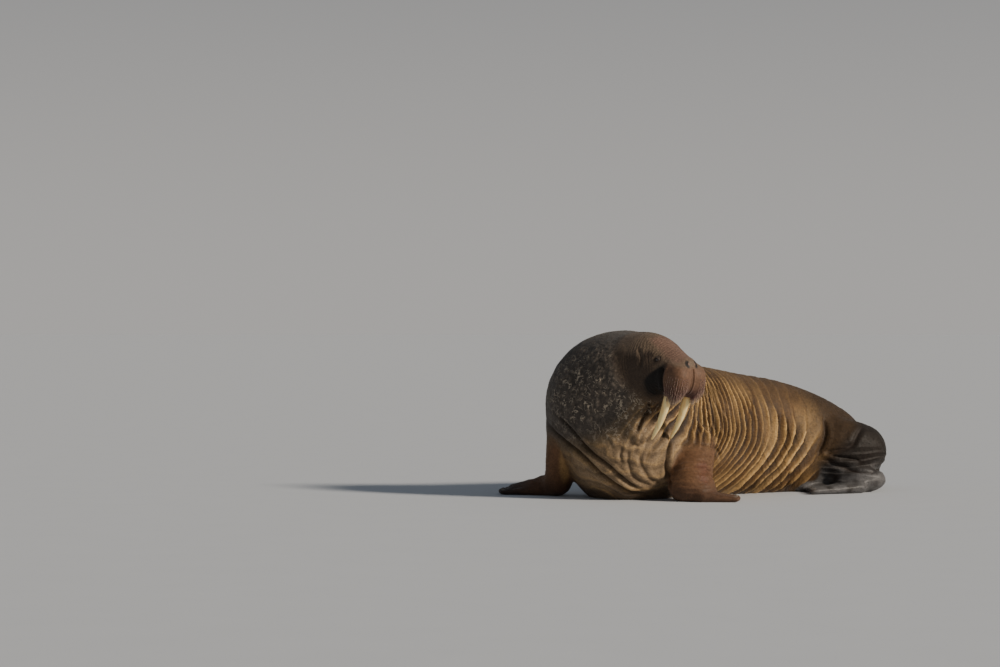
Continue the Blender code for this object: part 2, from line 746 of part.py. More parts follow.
def make_bristles(side):
    rng = random.Random(SEED + side)
    centre = head_point(PAD_CENTRE[0], side * PAD_CENTRE[1], PAD_CENTRE[2])
    pieces = []
    golden = math.pi * (3 - math.sqrt(5))
    for i in range(BRISTLES):
        spread = (i + 0.5) / BRISTLES
        polar = math.acos(1 - 1.12 * spread)
        turn = i * golden
        face = unit([0.88, side * 0.30, -0.38])
        e1 = unit(np.cross(face, [0.0, 0.0, 1.0]))
        e2 = np.cross(face, e1)
        ray = math.cos(polar) * face + math.sin(polar) * (math.cos(turn) * e1 + math.sin(turn) * e2)
        ray = unit(ray * np.array(PAD_SIZE))
        if ray[2] > 0.35 or ray[0] < -0.1:
            continue
        root = skin_point(centre, ray @ HEAD_AXES, 0.2)
        normal = unit(ray / np.array(PAD_SIZE) @ HEAD_AXES)
        outer = max(0.0, ray[1] * side) * 0.6 + max(0.0, -ray[2]) * 0.7
        length = BRISTLE_SHORT + (BRISTLE_LONG - BRISTLE_SHORT) * min(1.0, outer) * rng.uniform(0.85, 1.1)
        lean = unit(np.array([0.10, side * 0.22, -1.0]) @ HEAD_AXES + 0.05 * np.array([rng.gauss(0, 1), rng.gauss(0, 1), 0]))
        points, radii = bristle(root, normal, lean, length)
        if clear_of_others(points, side):
            pieces.append(tube("bristle", points, radii, BRISTLE_SIDES))
    return pieces


# Regions that part the flesh into nodes

def region(centre, axes, half):
    return (np.array(centre, float), np.array(axes, float), tuple(half))


def beyond_plane(point, normal, depth, wide=1.6):
    """All that lies past a plane through point, as deep as depth."""
    n = unit(normal)
    side = unit(np.cross(n, (0.0, 0.0, 1.0) if abs(n[2]) < 0.9 else (1.0, 0.0, 0.0)))
    axes = np.array([n, side, np.cross(n, side)])
    return region(np.array(point) + n * depth / 2, axes, (depth / 2, wide, wide))


def limb_box(wrist, elbow, top, back, front, left, right, bottom=0.35):
    """A box along a forearm: its top face crosses the arm at top from the wrist."""
    up = unit(np.array(elbow) - np.array(wrist))
    side = unit(np.cross(up, (0.0, -1.0, 0.0)))
    ahead = np.cross(side, up)
    axes = np.array([side, ahead, up])
    low = np.array([-left, -back, -bottom])
    high = np.array([right, front, top])
    centre = np.array(wrist) + ((low + high) / 2) @ axes
    return region(centre, axes, (high - low) / 2)


HEAD_REGION = beyond_plane(head_point(-0.155, 0, -0.14), (0.457, -0.785, 0.417), 0.7, 0.55)
CHIN_REGION = region(head_point(0.12, 0, -0.332), HEAD_AXES, (0.16, 0.050, 0.110))
PAD_REGION = region(head_point(0.275, 0, -0.160), HEAD_AXES, (0.20, 0.22, 0.125))
NECK_REGION = beyond_plane((-0.43, 0.42, 0.50), (0.15, -0.38, 0.91), 0.9, 0.9)
CHEST_REGION = beyond_plane((-0.06, 0.66, 0.40), (-0.80, -0.60, 0.0), 1.2, 1.0)
HIP_REGION = beyond_plane((0.955, 1.30, 0.30), (0.965, 0.26, 0.0), 0.9, 0.75)
FORE_LEFT_REGION = limb_box((0.012, 0.055, 0.11), (0.055, 0.24, 0.36), 0.24, 0.139, 0.20, 0.165, 0.45)
FORE_RIGHT_REGION = region((-1.03, 0.80, -0.02), frame_of(-112), (0.33, 0.36, 0.19))
HIND_LEFT_REGION = region((1.23, 0.75, 0.02), np.eye(3), (0.43, 0.30, 0.165))
HIND_RIGHT_REGION = region((1.23, 1.93, 0.02), np.eye(3), (0.43, 0.30, 0.165))
TAIL_REGION = region((1.645, 1.42, 0.26), np.eye(3), (0.20, 0.12, 0.12))


def make_flesh():
    """Every node of flesh, by name."""
    nodes = {}
    body = make_object("torso", *surface_net(walrus_field, (-1.5, -0.45, -0.1), (1.75, 2.1, 1.2), BODY_CELL))
    thin_out(body, 4200)
    limbs = (
        ("foreflipper_left", FORE_LEFT_REGION, 900),
        ("foreflipper_right", FORE_RIGHT_REGION, 900),
        ("hind_flipper_left", HIND_LEFT_REGION, 900),
        ("hind_flipper_right", HIND_RIGHT_REGION, 900),
        ("tail", TAIL_REGION, 240),
    )
    for name, place, triangles in limbs:
        nodes[name] = region_mesh(name, place, LIMB_CELL, triangles)
        keep_outside(body, place)
    nodes["head"] = region_mesh("head", HEAD_REGION, HEAD_CELL, 4200)
    keep_outside(body, HEAD_REGION)
    for name, source, place in (
        ("chest", body, CHEST_REGION),
        ("neck", None, NECK_REGION),
        ("hindquarters", body, HIP_REGION),
    ):
        source = source or nodes["chest"]
        nodes[name] = copy_of(source, name)
        keep_inside(nodes[name], place)
        keep_outside(source, place)
    nodes["torso"] = body
    for name, hand in HANDS:
        join_all(nodes[name], make_claws(hand), "MANIFOLD")
    return nodes


def part_face(nodes):
    """Parts the chin and the two whisker pads from the head."""
    head = nodes["head"]
    for side in (-1, 1):
        slit = nostril(side)
        boolean(head, slit, "DIFFERENCE")
        remove_object(slit)
    nodes["chin"] = copy_of(head, "chin")
    keep_inside(nodes["chin"], CHIN_REGION)
    keep_outside(head, CHIN_REGION)
    pads = copy_of(head, "pads")
    keep_inside(pads, PAD_REGION)
    keep_outside(head, PAD_REGION)
    for name, side in (("whisker_pad_left", 1), ("whisker_pad_right", -1)):
        half = beyond_plane(BROW, HEAD_AXES[1] * side, 0.6, 0.9)
        nodes[name] = copy_of(pads, name)
        keep_inside(nodes[name], half)
        thin_out(nodes[name], PAD_TRIANGLES)
        keep_inside(nodes[name], half)
        socket = make_socket(side)
        boolean(nodes[name], socket, "DIFFERENCE")
        remove_object(socket)
        join_all(nodes[name], make_bristles(side), "MANIFOLD")
    remove_object(pads)


def make_eyes(nodes):
    head = nodes["head"]
    for name, side in (("eye_left", 1), ("eye_right", -1)):
        lids = [lid(side, 1), lid(side, -1)]
        join_all(head, lids)
        hollow = ball("hollow", eye_centre(side), EYE_RADIUS + GAP)
        boolean(head, hollow, "DIFFERENCE")
        remove_object(hollow)
        keep_largest(head)
        nodes[name] = ball(name, eye_centre(side), EYE_RADIUS)


def main():
    for obj in list(bpy.data.objects):
        bpy.data.objects.remove(obj)
    nodes = make_flesh()
    part_face(nodes)
    make_eyes(nodes)
    nodes["tusk_left"] = make_tusk("tusk_left", 1)
    nodes["tusk_right"] = make_tusk("tusk_right", -1)
    for name, node in nodes.items():
        node.name = name
        if not name.startswith(("eye", "tusk")):
            keep_outside(node, FLOOR)
        node.data.transform(Matrix.Translation((-PART_ORIGIN[0], -PART_ORIGIN[1], 0)))
    finish_with("flank hide", SKIN_BROWN, 0.62, nodes["torso"], nodes["chest"])
    finish_with("neck hide", DARK_BROWN, 0.68, nodes["neck"], nodes["hindquarters"], nodes["tail"])
    finish_with("face hide", FACE_BROWN, 0.60, nodes["head"], nodes["chin"])
    finish_with("whisker pad", FACE_BROWN, 0.55, nodes["whisker_pad_left"], nodes["whisker_pad_right"])
    finish_with("foreflipper hide", FLIPPER_BROWN, 0.66, nodes["foreflipper_left"], nodes["foreflipper_right"])
    finish_with("hind flipper hide", HIND_GREY, 0.6, nodes["hind_flipper_left"], nodes["hind_flipper_right"])
    finish_with("ivory", IVORY, 0.32, nodes["tusk_left"], nodes["tusk_right"])
    finish_with("eye", EYE_BLACK, 0.08, nodes["eye_left"], nodes["eye_right"])


main()
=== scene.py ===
# The looks of a resting bull walrus, life size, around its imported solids. Metres, +Z up.
# One skin of fine mesh takes the place of the solids of flesh. Its shape is the same smooth field
# that the solids have, set in by the coat's depth, with folds, wrinkles, knobs and lips added.
# The sizes below are in the animal's own design frame. The part's frame is that one less PART_ORIGIN.

import math
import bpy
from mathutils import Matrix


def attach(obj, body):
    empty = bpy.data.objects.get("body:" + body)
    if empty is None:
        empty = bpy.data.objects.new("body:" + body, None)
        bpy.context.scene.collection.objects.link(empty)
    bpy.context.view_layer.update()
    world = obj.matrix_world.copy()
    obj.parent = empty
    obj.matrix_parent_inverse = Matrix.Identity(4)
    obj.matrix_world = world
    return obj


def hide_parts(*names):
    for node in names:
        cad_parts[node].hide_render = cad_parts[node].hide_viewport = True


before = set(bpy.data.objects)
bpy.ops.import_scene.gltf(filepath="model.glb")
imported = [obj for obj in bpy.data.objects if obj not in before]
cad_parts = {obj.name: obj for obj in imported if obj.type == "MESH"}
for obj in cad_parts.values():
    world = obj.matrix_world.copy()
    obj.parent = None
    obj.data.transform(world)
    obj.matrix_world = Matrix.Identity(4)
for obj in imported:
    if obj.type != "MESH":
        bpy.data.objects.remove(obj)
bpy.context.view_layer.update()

from concurrent.futures import ThreadPoolExecutor

import bmesh
import bpy
import numpy as np
from mathutils import Vector

PART_ORIGIN = np.array([0.1180, 0.8400, 0.0])

# Camera, in the design frame: level, looking along +Y
CAMERA_PLACE = (-1.235, -16.0, 1.093)
CAMERA_LENS = 88.6

# Sizes of the skin's mesh
SKIN_CELL = 0.0145  # before it is refined
COAT_DEPTH = 0.0035  # how far the skin lies inside the solids
FLOOR_SINK = 0.045

# Spine from hips to chest: x, y, half width, height of the back, height of the widest point
SPINE = (
    (1.31, 1.385, 0.200, 0.440, 0.225),
    (1.18, 1.365, 0.262, 0.554, 0.250),
    (0.95, 1.300, 0.330, 0.676, 0.285),
    (0.66, 1.175, 0.385, 0.770, 0.320),
    (0.36, 1.005, 0.425, 0.824, 0.345),
    (0.05, 0.790, 0.445, 0.885, 0.365),
    (-0.20, 0.610, 0.430, 0.930, 0.380),
    (-0.40, 0.460, 0.390, 0.920, 0.390),
)
SPINE_STEPS = 8
RING_POWER = 2.3
HIP_CAP = 0.13
CHEST_CAP = 0.30

BROW = (-0.133, -0.073, 0.945)
HEAD_YAW = 42.0
HEAD_PITCH = -14.0
EYE_RADIUS = 0.0185
EYE_FORWARD = -0.012
EYE_UP = -0.024
EYE_SINK = 0.0135
EYE_OPEN = 0.0150
PAD_CENTRE = (0.140, 0.071, -0.119)
PAD_SIZE = (0.112, 0.078, 0.119)
PAD_POWER = 2.5
NOSTRIL_SIDE = 0.036
TUSK_ROOT = (0.125, 0.089, -0.175)
TUSK_TIP = (0.050, 0.087, -0.537)
TUSK_BOW = 0.022
TUSK_RADIUS = 0.0275
TUSK_TIP_RADIUS = 0.0072
TUSK_SLIM = 0.86
TUSK_TAPER = 2.9

# Each hand: heel, yaw, length, spread, width, digits' shares of the length, radii at root and tip, flatness
FORE_LEFT_HAND = ((0.07, 0.02), 100, 0.27, 30, 0.15, (0.78, 0.86, 0.93, 1.0, 0.98), 0.040, 0.022, 0.85)
FORE_RIGHT_HAND = ((-0.87, 0.69), -112, 0.42, 24, 0.15, (1.0, 0.98, 0.92, 0.85, 0.78), 0.042, 0.020, 0.85)
HIND_LEFT_HAND = ((1.21, 0.945), -82, 0.37, 36, 0.19, (1.0, 0.92, 0.88, 0.92, 1.0), 0.048, 0.026, 0.8)
HIND_RIGHT_HAND = ((1.19, 1.700), -101, 0.37, 36, 0.19, (1.0, 0.92, 0.88, 0.92, 1.0), 0.048, 0.026, 0.8)
HANDS = (FORE_LEFT_HAND, FORE_RIGHT_HAND, HIND_LEFT_HAND, HIND_RIGHT_HAND)
WEB_THIN = 0.66
WEB_SHORT = 0.95
WEB_BLEND = 0.030

# Folds of the hide
FOLD_FRONT = 1.41  # distance along the spine, from the hips, of the front flank fold
FOLD_TIGHT = 0.047  # its width
FOLD_GROWTH = 0.078  # how much wider the folds get for each metre towards the hips
FOLD_DEPTH = 0.50  # over the fold's width
FOLD_LEAN = 0.80  # share of a fold that rises slowly, before its crest
FOLD_SWEEP = 0.34  # how far the lower end of a flank fold runs forward, towards the armpit
THROAT_TOP = (0.104, 0.947)  # across and up, where the throat's folds fan out from
THROAT_SPREAD = 0.105  # angle between them
THROAT_DEPTH = 0.018
KNOBS = 520
STROKE_SCALE = 31.0

# Tufts of the coat
TUFTS = 170000
TUFT_LONG = 0.0095
TUFT_SHORT = 0.0055
TUFT_WIDE = 0.24  # over its length
TUFT_LIFT = 0.20  # angle in radians

# Whiskers and claws
WHISKER_ROWS = 13
WHISKER_TURN = 9.6  # degrees between columns
WHISKER_SHORT = 0.014
WHISKER_LONG = 0.052
WHISKER_RADIUS = 0.0025
CLAW_LENGTH = 0.026
CLAW_RADIUS = 0.0055

# Light
KEY_FROM = (0.78, -0.47, 0.42)
KEY_POWER = 4.0
KEY_ANGLE = 8.0
GLOW_LOW = (0.442, 0.427, 0.411)
GLOW_HIGH = (0.140, 0.155, 0.175)
GLOW_TOP = 0.34  # sine of the height at which the low glow has faded to the high one
FLOOR_REACH = 2500.0

# Deep creases, each as depth, half width and points across and up in the picture plane, y = 0
CREASES = (
    (0.030, 0.018, ((-0.949, 0.527), (-0.851, 0.427), (-0.692, 0.290), (-0.566, 0.167), (-0.422, 0.076), (-0.299, 0.046))),
    (0.022, 0.014, ((-0.884, 0.576), (-0.774, 0.472), (-0.653, 0.329), (-0.533, 0.235), (-0.410, 0.128), (-0.314, 0.076))),
    (0.024, 0.015, ((-0.262, 0.640), (-0.270, 0.590), (-0.299, 0.550), (-0.354, 0.440))),
    (0.009, 0.016, ((-0.400, 0.330), (-0.403, 0.277), (-0.384, 0.196), (-0.322, 0.128), (-0.221, 0.095))),
    (0.009, 0.016, ((-0.330, 0.300), (-0.314, 0.238), (-0.255, 0.141), (-0.172, 0.118))),
    (0.008, 0.015, ((-0.440, 0.355), (-0.452, 0.300), (-0.435, 0.250))),
    (0.010, 0.014, ((-0.180, 0.520), (-0.235, 0.440), (-0.310, 0.390), (-0.395, 0.375))),
    (0.010, 0.014, ((-0.130, 0.500), (-0.190, 0.400), (-0.260, 0.320), (-0.300, 0.240))),
    (0.026, 0.017, ((-0.123, 0.400), (-0.140, 0.300), (-0.150, 0.206), (-0.123, 0.089))),
    (0.006, 0.014, ((-0.117, 0.342), (-0.032, 0.381), (0.065, 0.381), (0.169, 0.342), (0.208, 0.258))),
    (0.006, 0.013, ((-0.338, 0.999), (-0.318, 0.940), (-0.325, 0.869))),
    (0.016, 0.015, ((-0.175, 0.882), (-0.188, 0.791), (-0.175, 0.680))),
    (0.012, 0.020, ((1.136, 0.511), (1.086, 0.427), (1.053, 0.365), (0.962, 0.335), (0.852, 0.323))),
    (0.014, 0.016, ((0.884, 0.264), (0.969, 0.232), (1.053, 0.206), (1.144, 0.193), (1.219, 0.190))),
    (0.010, 0.013, ((0.904, 0.303), (1.008, 0.284), (1.118, 0.258))),
    (0.014, 0.018, ((0.871, 0.550), (0.878, 0.430), (0.825, 0.290))),
)

# Grooves of the face, in the head's frame and on both sides: between the pads, and the line of the mouth
FACE_CREASES = (
    (0.0100, 0.0055, ((0.206, 0.001, -0.022), (0.220, 0.001, -0.040), (0.235, 0.001, -0.065), (0.243, 0.001, -0.110), (0.240, 0.001, -0.165), (0.200, 0.001, -0.225))),
    (0.0075, 0.0060, ((0.160, 0.004, -0.228), (0.130, 0.046, -0.224), (0.070, 0.066, -0.206), (0.010, 0.090, -0.180))),
)

PALETTE = {
    "flank": (0.112, 0.056, 0.018),
    # gold is the folds' own golden tone, and is also used as painted highlight on fold crests and on the right forearm.
    "gold": (0.580, 0.360, 0.140),
    "back": (0.090, 0.052, 0.024),
    "olive": (0.150, 0.105, 0.060),
    "neck": (0.074, 0.060, 0.049),
    "knob": (0.190, 0.155, 0.120),
    "stroke": (0.480, 0.400, 0.300),
    "crown": (0.135, 0.095, 0.064),
    "rosy": (0.190, 0.110, 0.080),
    "muzzle": (0.140, 0.074, 0.043),
    "pad_low": (0.085, 0.036, 0.032),
    # cheek is painted shade on the cheeks behind the muzzle.
    "cheek": (0.045, 0.029, 0.019),
    # Painted shadow under and behind the whisker pads.
    "recess_shadow": (0.006, 0.004, 0.003),
    # socket is painted shade round the eyes.
    "socket": (0.016, 0.009, 0.007),
    "lid": (0.034, 0.022, 0.015),
    # nostril is painted shade in the nostril slits.
    "nostril": (0.006, 0.004, 0.004),
    "pink": (0.300, 0.120, 0.105),
    "chest": (0.270, 0.185, 0.105),
    "flipper": (0.150, 0.075, 0.036),
    # Painted shade on the forelimbs near the floor.
    "flipper_floor_shade": (0.065, 0.032, 0.018),
    "sore": (0.120, 0.036, 0.022),
    "dark": (0.018, 0.017, 0.018),
    "hip": (0.046, 0.025, 0.010),
    "heel": (0.014, 0.009, 0.006),
    "hind": (0.105, 0.100, 0.100),
    # Painted shade for the valleys of the folds and the deep creases.
    "crease_shade": (0.020, 0.009, 0.004),
    "whisker": (0.150, 0.062, 0.055),
    "whisker_tip": (0.560, 0.430, 0.310),
    "claw": (0.200, 0.170, 0.135),
}


# Vectors and frames

def unit(v):
    v = np.asarray(v, float)
    return v / np.linalg.norm(v)


def frame_of(yaw, pitch=0.0):
    """Rows forward, left and up. Yaw 0 faces -Y, and a positive yaw turns towards +X."""
    yaw, pitch = math.radians(yaw), math.radians(pitch)
    forward = np.array([math.sin(yaw) * math.cos(pitch), -math.cos(yaw) * math.cos(pitch), math.sin(pitch)])
    left = np.array([math.cos(yaw), math.sin(yaw), 0.0])
    return np.array([forward, left, np.cross(forward, left)])


def smooth_line(rows, steps):
    """A Catmull-Rom curve through rows of numbers."""
    rows = np.array(rows, float)
    ends = np.vstack([2 * rows[0] - rows[1], rows, 2 * rows[-1] - rows[-2]])
    out = []
    for i in range(1, len(ends) - 2):
        p0, p1, p2, p3 = ends[i - 1:i + 3]
        for t in np.linspace(0, 1, steps, endpoint=False):
            bend = 2 * p0 - 5 * p1 + 4 * p2 - p3
            out.append(0.5 * (2 * p1 + (p2 - p0) * t + bend * t * t + (3 * p1 - p0 - 3 * p2 + p3) * t ** 3))
    out.append(rows[-1])
    return np.array(out)


HEAD_AXES = frame_of(HEAD_YAW, HEAD_PITCH)
NECK_AXIS = unit((0.457, -0.785, 0.417))
SPINE_LINE = smooth_line(SPINE, SPINE_STEPS)
SPINE_LENGTH = np.concatenate([[0], np.cumsum(np.linalg.norm(np.diff(SPINE_LINE[:, :2], axis=0), axis=1))])


def head_point(forward, left, up):
    return np.array(BROW) + np.array([forward, left, up]) @ HEAD_AXES


def ramp(x, low, high):
    """0 below low, 1 above high, smooth between."""
    t = np.clip((x - low) / (high - low), 0, 1)
    return t * t * (3 - 2 * t)


def blob(p, centre, radii, axes=None):
    """A soft weight: 1 at the centre, 0 past the radii."""
    q = p - np.array(centre)
    if axes is not None:
        q = q @ axes.T
    return 1 - ramp(np.linalg.norm(q / np.array(radii), axis=1), 0.45, 1.0)


# Noise that is the same on each run

def noise(p, size, seed):
    """Smooth noise from -1 to 1, with features about as large as size."""
    q = p / size
    base = np.floor(q).astype(np.int64)
    f = q - base
    f = (f * f * (3 - 2 * f)).T
    keys = (base * np.array([374761393, 668265263, 1442695041])).T
    steps = (374761393, 668265263, 1442695041)

    def value(i, j, k):
        h = keys[0] + i * steps[0] + keys[1] + j * steps[1] + keys[2] + k * steps[2] + seed * 1274126177
        h = (h ^ (h >> 13)) * 1103515245
        return ((h ^ (h >> 16)) & 0xFFFF) / 32767.5 - 1

    rows = []
    for i in (0, 1):
        front = value(i, 0, 0) * (1 - f[2]) + value(i, 0, 1) * f[2]
        back = value(i, 1, 0) * (1 - f[2]) + value(i, 1, 1) * f[2]
        rows.append(front * (1 - f[1]) + back * f[1])
    return rows[0] * (1 - f[0]) + rows[1] * f[0]


def layered(p, size, seed, layers=3):
    total, weight = np.zeros(len(p)), 1.0
    for k in range(layers):
        total += weight * noise(p, size / 2 ** k, seed + 31 * k)
        weight *= 0.5
    return total / 1.6


# Fields, the same as the solids': each gives the distance to a form, negative inside

def blend(a, b, width):
    share = np.clip(0.5 + 0.5 * (b - a) / width, 0.0, 1.0)
    return b + (a - b) * share - width * share * (1.0 - share)


def carve(a, b, width):
    """a without b, with a rounded rim."""
    return -blend(-a, b, width)


def ellipsoid(p, centre, radii, axes=None):
    q = p - np.array(centre)
    if axes is not None:
        q = q @ axes.T
    r = np.array(radii)
    near = np.linalg.norm(q / r, axis=-1)
    far = np.linalg.norm(q / (r * r), axis=-1)
    return near * (near - 1.0) / np.maximum(far, 1e-9)


def cushion(p, centre, radii, power, axes):
    """Like an ellipsoid, and squarer the more power is above 2."""
    q = np.abs((p - np.array(centre)) @ axes.T) / np.array(radii)
    return (((q ** power).sum(-1) + 1e-12) ** (1 / power) - 1.0) * min(radii)


def taper(p, start, end, start_radius, end_radius, flat=1.0, flat_axis=(0, 0, 1)):
    """A tapered rod with round ends, thinner by the factor flat along flat_axis."""
    start, end = np.array(start, float), np.array(end, float)
    along = end - start
    q = p - start
    t = np.clip((q @ along) / (along @ along), 0.0, 1.0)
    off = q - t[:, None] * along
    axis = unit(flat_axis)
    off = off + ((off @ axis) * (1.0 / flat - 1.0))[:, None] * axis
    return (np.linalg.norm(off, axis=-1) - start_radius - (end_radius - start_radius) * t) * flat


def along_spine(p):
    """For each point: station along the spine from the hips, offset to its side, distance past its ends, and sizes."""
    line = SPINE_LINE
    near = ((line[:, :2] ** 2).sum(1) - 2 * p[:, :2] @ line[:, :2].T).argmin(1)
    best = np.full(len(p), 1e9)
    station, lateral, beyond = np.zeros(len(p)), np.zeros(len(p)), np.zeros(len(p))
    size = np.zeros((len(p), 3))
    last = len(line) - 2
    for step in (-1, 0):
        i = np.clip(near + step, 0, last)
        a, b = line[i], line[i + 1]
        ab = b[:, :2] - a[:, :2]
        length = np.linalg.norm(ab, axis=1)
        raw = ((p[:, :2] - a[:, :2]) * ab).sum(1) / length ** 2
        t = np.clip(raw, 0, 1)
        off = p[:, :2] - a[:, :2] - t[:, None] * ab
        distance = np.linalg.norm(off, axis=1)
        closer = distance < best - 1e-12
        side = (ab[:, 0] * off[:, 1] - ab[:, 1] * off[:, 0]) / length
        over = np.where((i == 0) & (raw < 0), raw * length, 0.0)
        over = np.where((i == last) & (raw > 1), (raw - 1) * length, over)
        best = np.where(closer, distance, best)
        lateral = np.where(closer, side, lateral)
        beyond = np.where(closer, over, beyond)
        station = np.where(closer, SPINE_LENGTH[i] + t * length + over, station)
        size = np.where(closer[:, None], a[:, 2:] + t[:, None] * (b - a)[:, 2:], size)
    return station, lateral, beyond, size


def trunk_field(p):
    """The body from hips to chest: ovals along the spine, flat where they would pass the floor."""
    _, lateral, beyond, size = along_spine(p)
    wide, top, middle = size.T
    up = p[:, 2] - middle
    high = np.where(up > 0, top - middle, middle + FLOOR_SINK)
    cap = np.where(beyond < 0, HIP_CAP, CHEST_CAP)
    power = RING_POWER
    q = np.abs(lateral / wide) ** power + np.abs(up / high) ** power + np.abs(beyond / cap) ** power
    return ((q + 1e-12) ** (1 / power) - 1.0) * np.minimum(wide, high) * 0.9


def neck_field(p):
    ball = ellipsoid(p, (-0.437, 0.430, 0.617), (0.497, 0.440, 0.493))
    chest = ellipsoid(p, (-0.37, 0.43, 0.32), (0.43, 0.46, 0.37))
    nape = ellipsoid(p, (-0.35, 0.22, 0.815), (0.31, 0.30, 0.275))
    return blend(blend(ball, chest, 0.08), nape, 0.12)


def chin_field(p):
    return ellipsoid(p, head_point(0.085, 0, -0.232), (0.072, 0.054, 0.045), HEAD_AXES)


def head_field(p):
    axes = HEAD_AXES
    d = ellipsoid(p, head_point(-0.13, 0, -0.065), (0.27, 0.160, 0.163), axes)
    d = blend(d, ellipsoid(p, head_point(-0.20, 0, -0.13), (0.25, 0.20, 0.21), axes), 0.10)
    for side in (-1, 1):
        d = blend(d, ellipsoid(p, head_point(-0.07, side * 0.068, -0.11), (0.15, 0.082, 0.12), axes), 0.05)
        d = blend(d, ellipsoid(p, head_point(-0.025, side * 0.080, -0.008), (0.055, 0.036, 0.034), axes), 0.035)
    d = blend(d, ellipsoid(p, head_point(0.075, 0, -0.052), (0.140, 0.106, 0.096), axes), 0.05)
    d = blend(d, ellipsoid(p, head_point(0.125, 0, -0.115), (0.108, 0.070, 0.105), axes), 0.03)
    for side in (-1, 1):
        centre = head_point(PAD_CENTRE[0], side * PAD_CENTRE[1], PAD_CENTRE[2])
        d = blend(d, cushion(p, centre, PAD_SIZE, PAD_POWER, axes), 0.030)
    d = blend(d, ellipsoid(p, head_point(0.150, 0, -0.012), (0.050, 0.060, 0.044), axes), 0.030)
    return blend(d, chin_field(p), 0.02)


def digit_line(hand, place):
    """Root, tip and radii of a hand's digit, or at a half place of the web between two digits."""
    heel, yaw, length, spread, width, shares, radius, tip_radius, flat = hand
    last = len(shares) - 1
    side = 2 * place / last - 1
    web = place % 1 != 0
    share = shares[int(place)] * 0.5 + shares[min(int(place) + 1, last)] * 0.5 if web else shares[int(place)]
    size = WEB_THIN if web else 1.0
    root = np.array([heel[0], heel[1], 0.0]) + frame_of(yaw)[1] * side * width / 2
    tip = root + frame_of(yaw + side * spread / 2)[0] * length * share * (WEB_SHORT if web else 1.0)
    root[2], tip[2] = radius * size * flat, tip_radius * size * flat
    return root, tip, radius * size, tip_radius * size


def hand_field(p, hand):
    """A flipper's hand, flat on the floor: digits that fan out from the heel, with a thinner web between."""
    d = None
    for i in range(2 * len(hand[5]) - 1):
        finger = taper(p, *digit_line(hand, i / 2), hand[8])
        d = finger if d is None else blend(d, finger, WEB_BLEND)
    return d


def fore_left_field(p):
    arm = taper(p, (0.045, 0.28, 0.33), (0.014, 0.060, 0.12), 0.145, 0.138, 0.82, (0, 1, 0))
    wrist = ellipsoid(p, (0.02, 0.040, 0.08), (0.148, 0.11, 0.10))
    return blend(blend(arm, wrist, 0.05), hand_field(p, FORE_LEFT_HAND), 0.05)


def fore_right_field(p):
    arm = taper(p, (-0.800, 0.43, 0.44), (-0.845, 0.56, 0.10), 0.125, 0.092, 0.9, (0, 1, 0))
    wrist = taper(p, (-0.855, 0.61, 0.085), (-1.13, 0.79, 0.035), 0.090, 0.042, 0.85)
    return blend(blend(arm, wrist, 0.05), hand_field(p, FORE_RIGHT_HAND), 0.05)


def hind_left_field(p):
    heel = ellipsoid(p, (1.250, 1.13, 0.282), (0.204, 0.19, 0.188))
    shin = ellipsoid(p, (1.09, 1.09, 0.28), (0.21, 0.18, 0.23))
    sole = ellipsoid(p, (1.245, 0.99, 0.085), (0.185, 0.115, 0.095))
    leg = blend(blend(heel, shin, 0.10), sole, 0.035)
    return blend(leg, hand_field(p, HIND_LEFT_HAND), 0.045)


def hind_right_field(p):
    heel = ellipsoid(p, (1.20, 1.59, 0.235), (0.19, 0.18, 0.165))
    sole = ellipsoid(p, (1.21, 1.68, 0.085), (0.18, 0.12, 0.095))
    return blend(blend(heel, sole, 0.05), hand_field(p, HIND_RIGHT_HAND), 0.045)


def tail_field(p):
    return taper(p, (1.36, 1.40, 0.27), (1.462, 1.43, 0.25), 0.07, 0.024, 0.6)


# Each form that is blended into the trunk: its field, the width of the fillet, and the box it matters in
FORMS = (
    (neck_field, 0.12, (-1.3, -0.5, -0.2), (0.6, 1.3, 1.4)),
    (head_field, 0.05, (-0.75, -0.60, 0.30), (0.45, 0.70, 1.4)),
    (fore_left_field, 0.05, (-0.35, -0.30, -0.3), (0.60, 0.60, 0.8)),
    (fore_right_field, 0.05, (-1.50, 0.20, -0.3), (-0.40, 1.25, 0.8)),
    (hind_left_field, 0.05, (0.60, 0.45, -0.3), (1.75, 1.45, 0.7)),
    (hind_right_field, 0.05, (0.60, 1.20, -0.3), (1.75, 2.25, 0.6)),
    (tail_field, 0.04, (1.15, 1.15, -0.1), (1.75, 1.70, 0.5)),
)


def walrus_field(p):
    d = trunk_field(p)
    for form, width, low, high in FORMS:
        near = ((p > low) & (p < high)).all(1)
        if near.any():
            d[near] = blend(d[near], form(p[near]), width)
    return d


def skin_point(start, direction, reach=0.4):
    """Where a line from a point inside the flesh comes out through the solids' surface."""
    low, high = 0.0, reach
    for _ in range(26):
        middle = (low + high) / 2
        if walrus_field((start + direction * middle)[None])[0] < 0:
            low = middle
        else:
            high = middle
    return start + direction * low


def eye_out(side):
    return unit(np.array([0.28, side * 1.0, 0.08]) @ HEAD_AXES)


EYE_CENTRES = {side: skin_point(head_point(EYE_FORWARD, side * 0.03, EYE_UP), eye_out(side), 0.2)
               - eye_out(side) * EYE_SINK for side in (-1, 1)}


def eye_axes(side):
    """Forward along the lids' gap, up, and outwards."""
    out = eye_out(side)
    along = unit(HEAD_AXES[0] - out * (HEAD_AXES[0] @ out))
    return np.array([along, np.cross(out, along) * side, out])


def nostril_points(side):
    """The middle line of a crescent slit, on the solids' surface."""
    points = []
    for t in np.linspace(-1, 1, 7):
        start = head_point(0.14, side * (NOSTRIL_SIDE + 0.010 * (1 - t * t)), 0.014 * t)
        points.append(skin_point(start, HEAD_AXES[0], 0.2))
    return points


NOSTRILS = {side: nostril_points(side) for side in (-1, 1)}


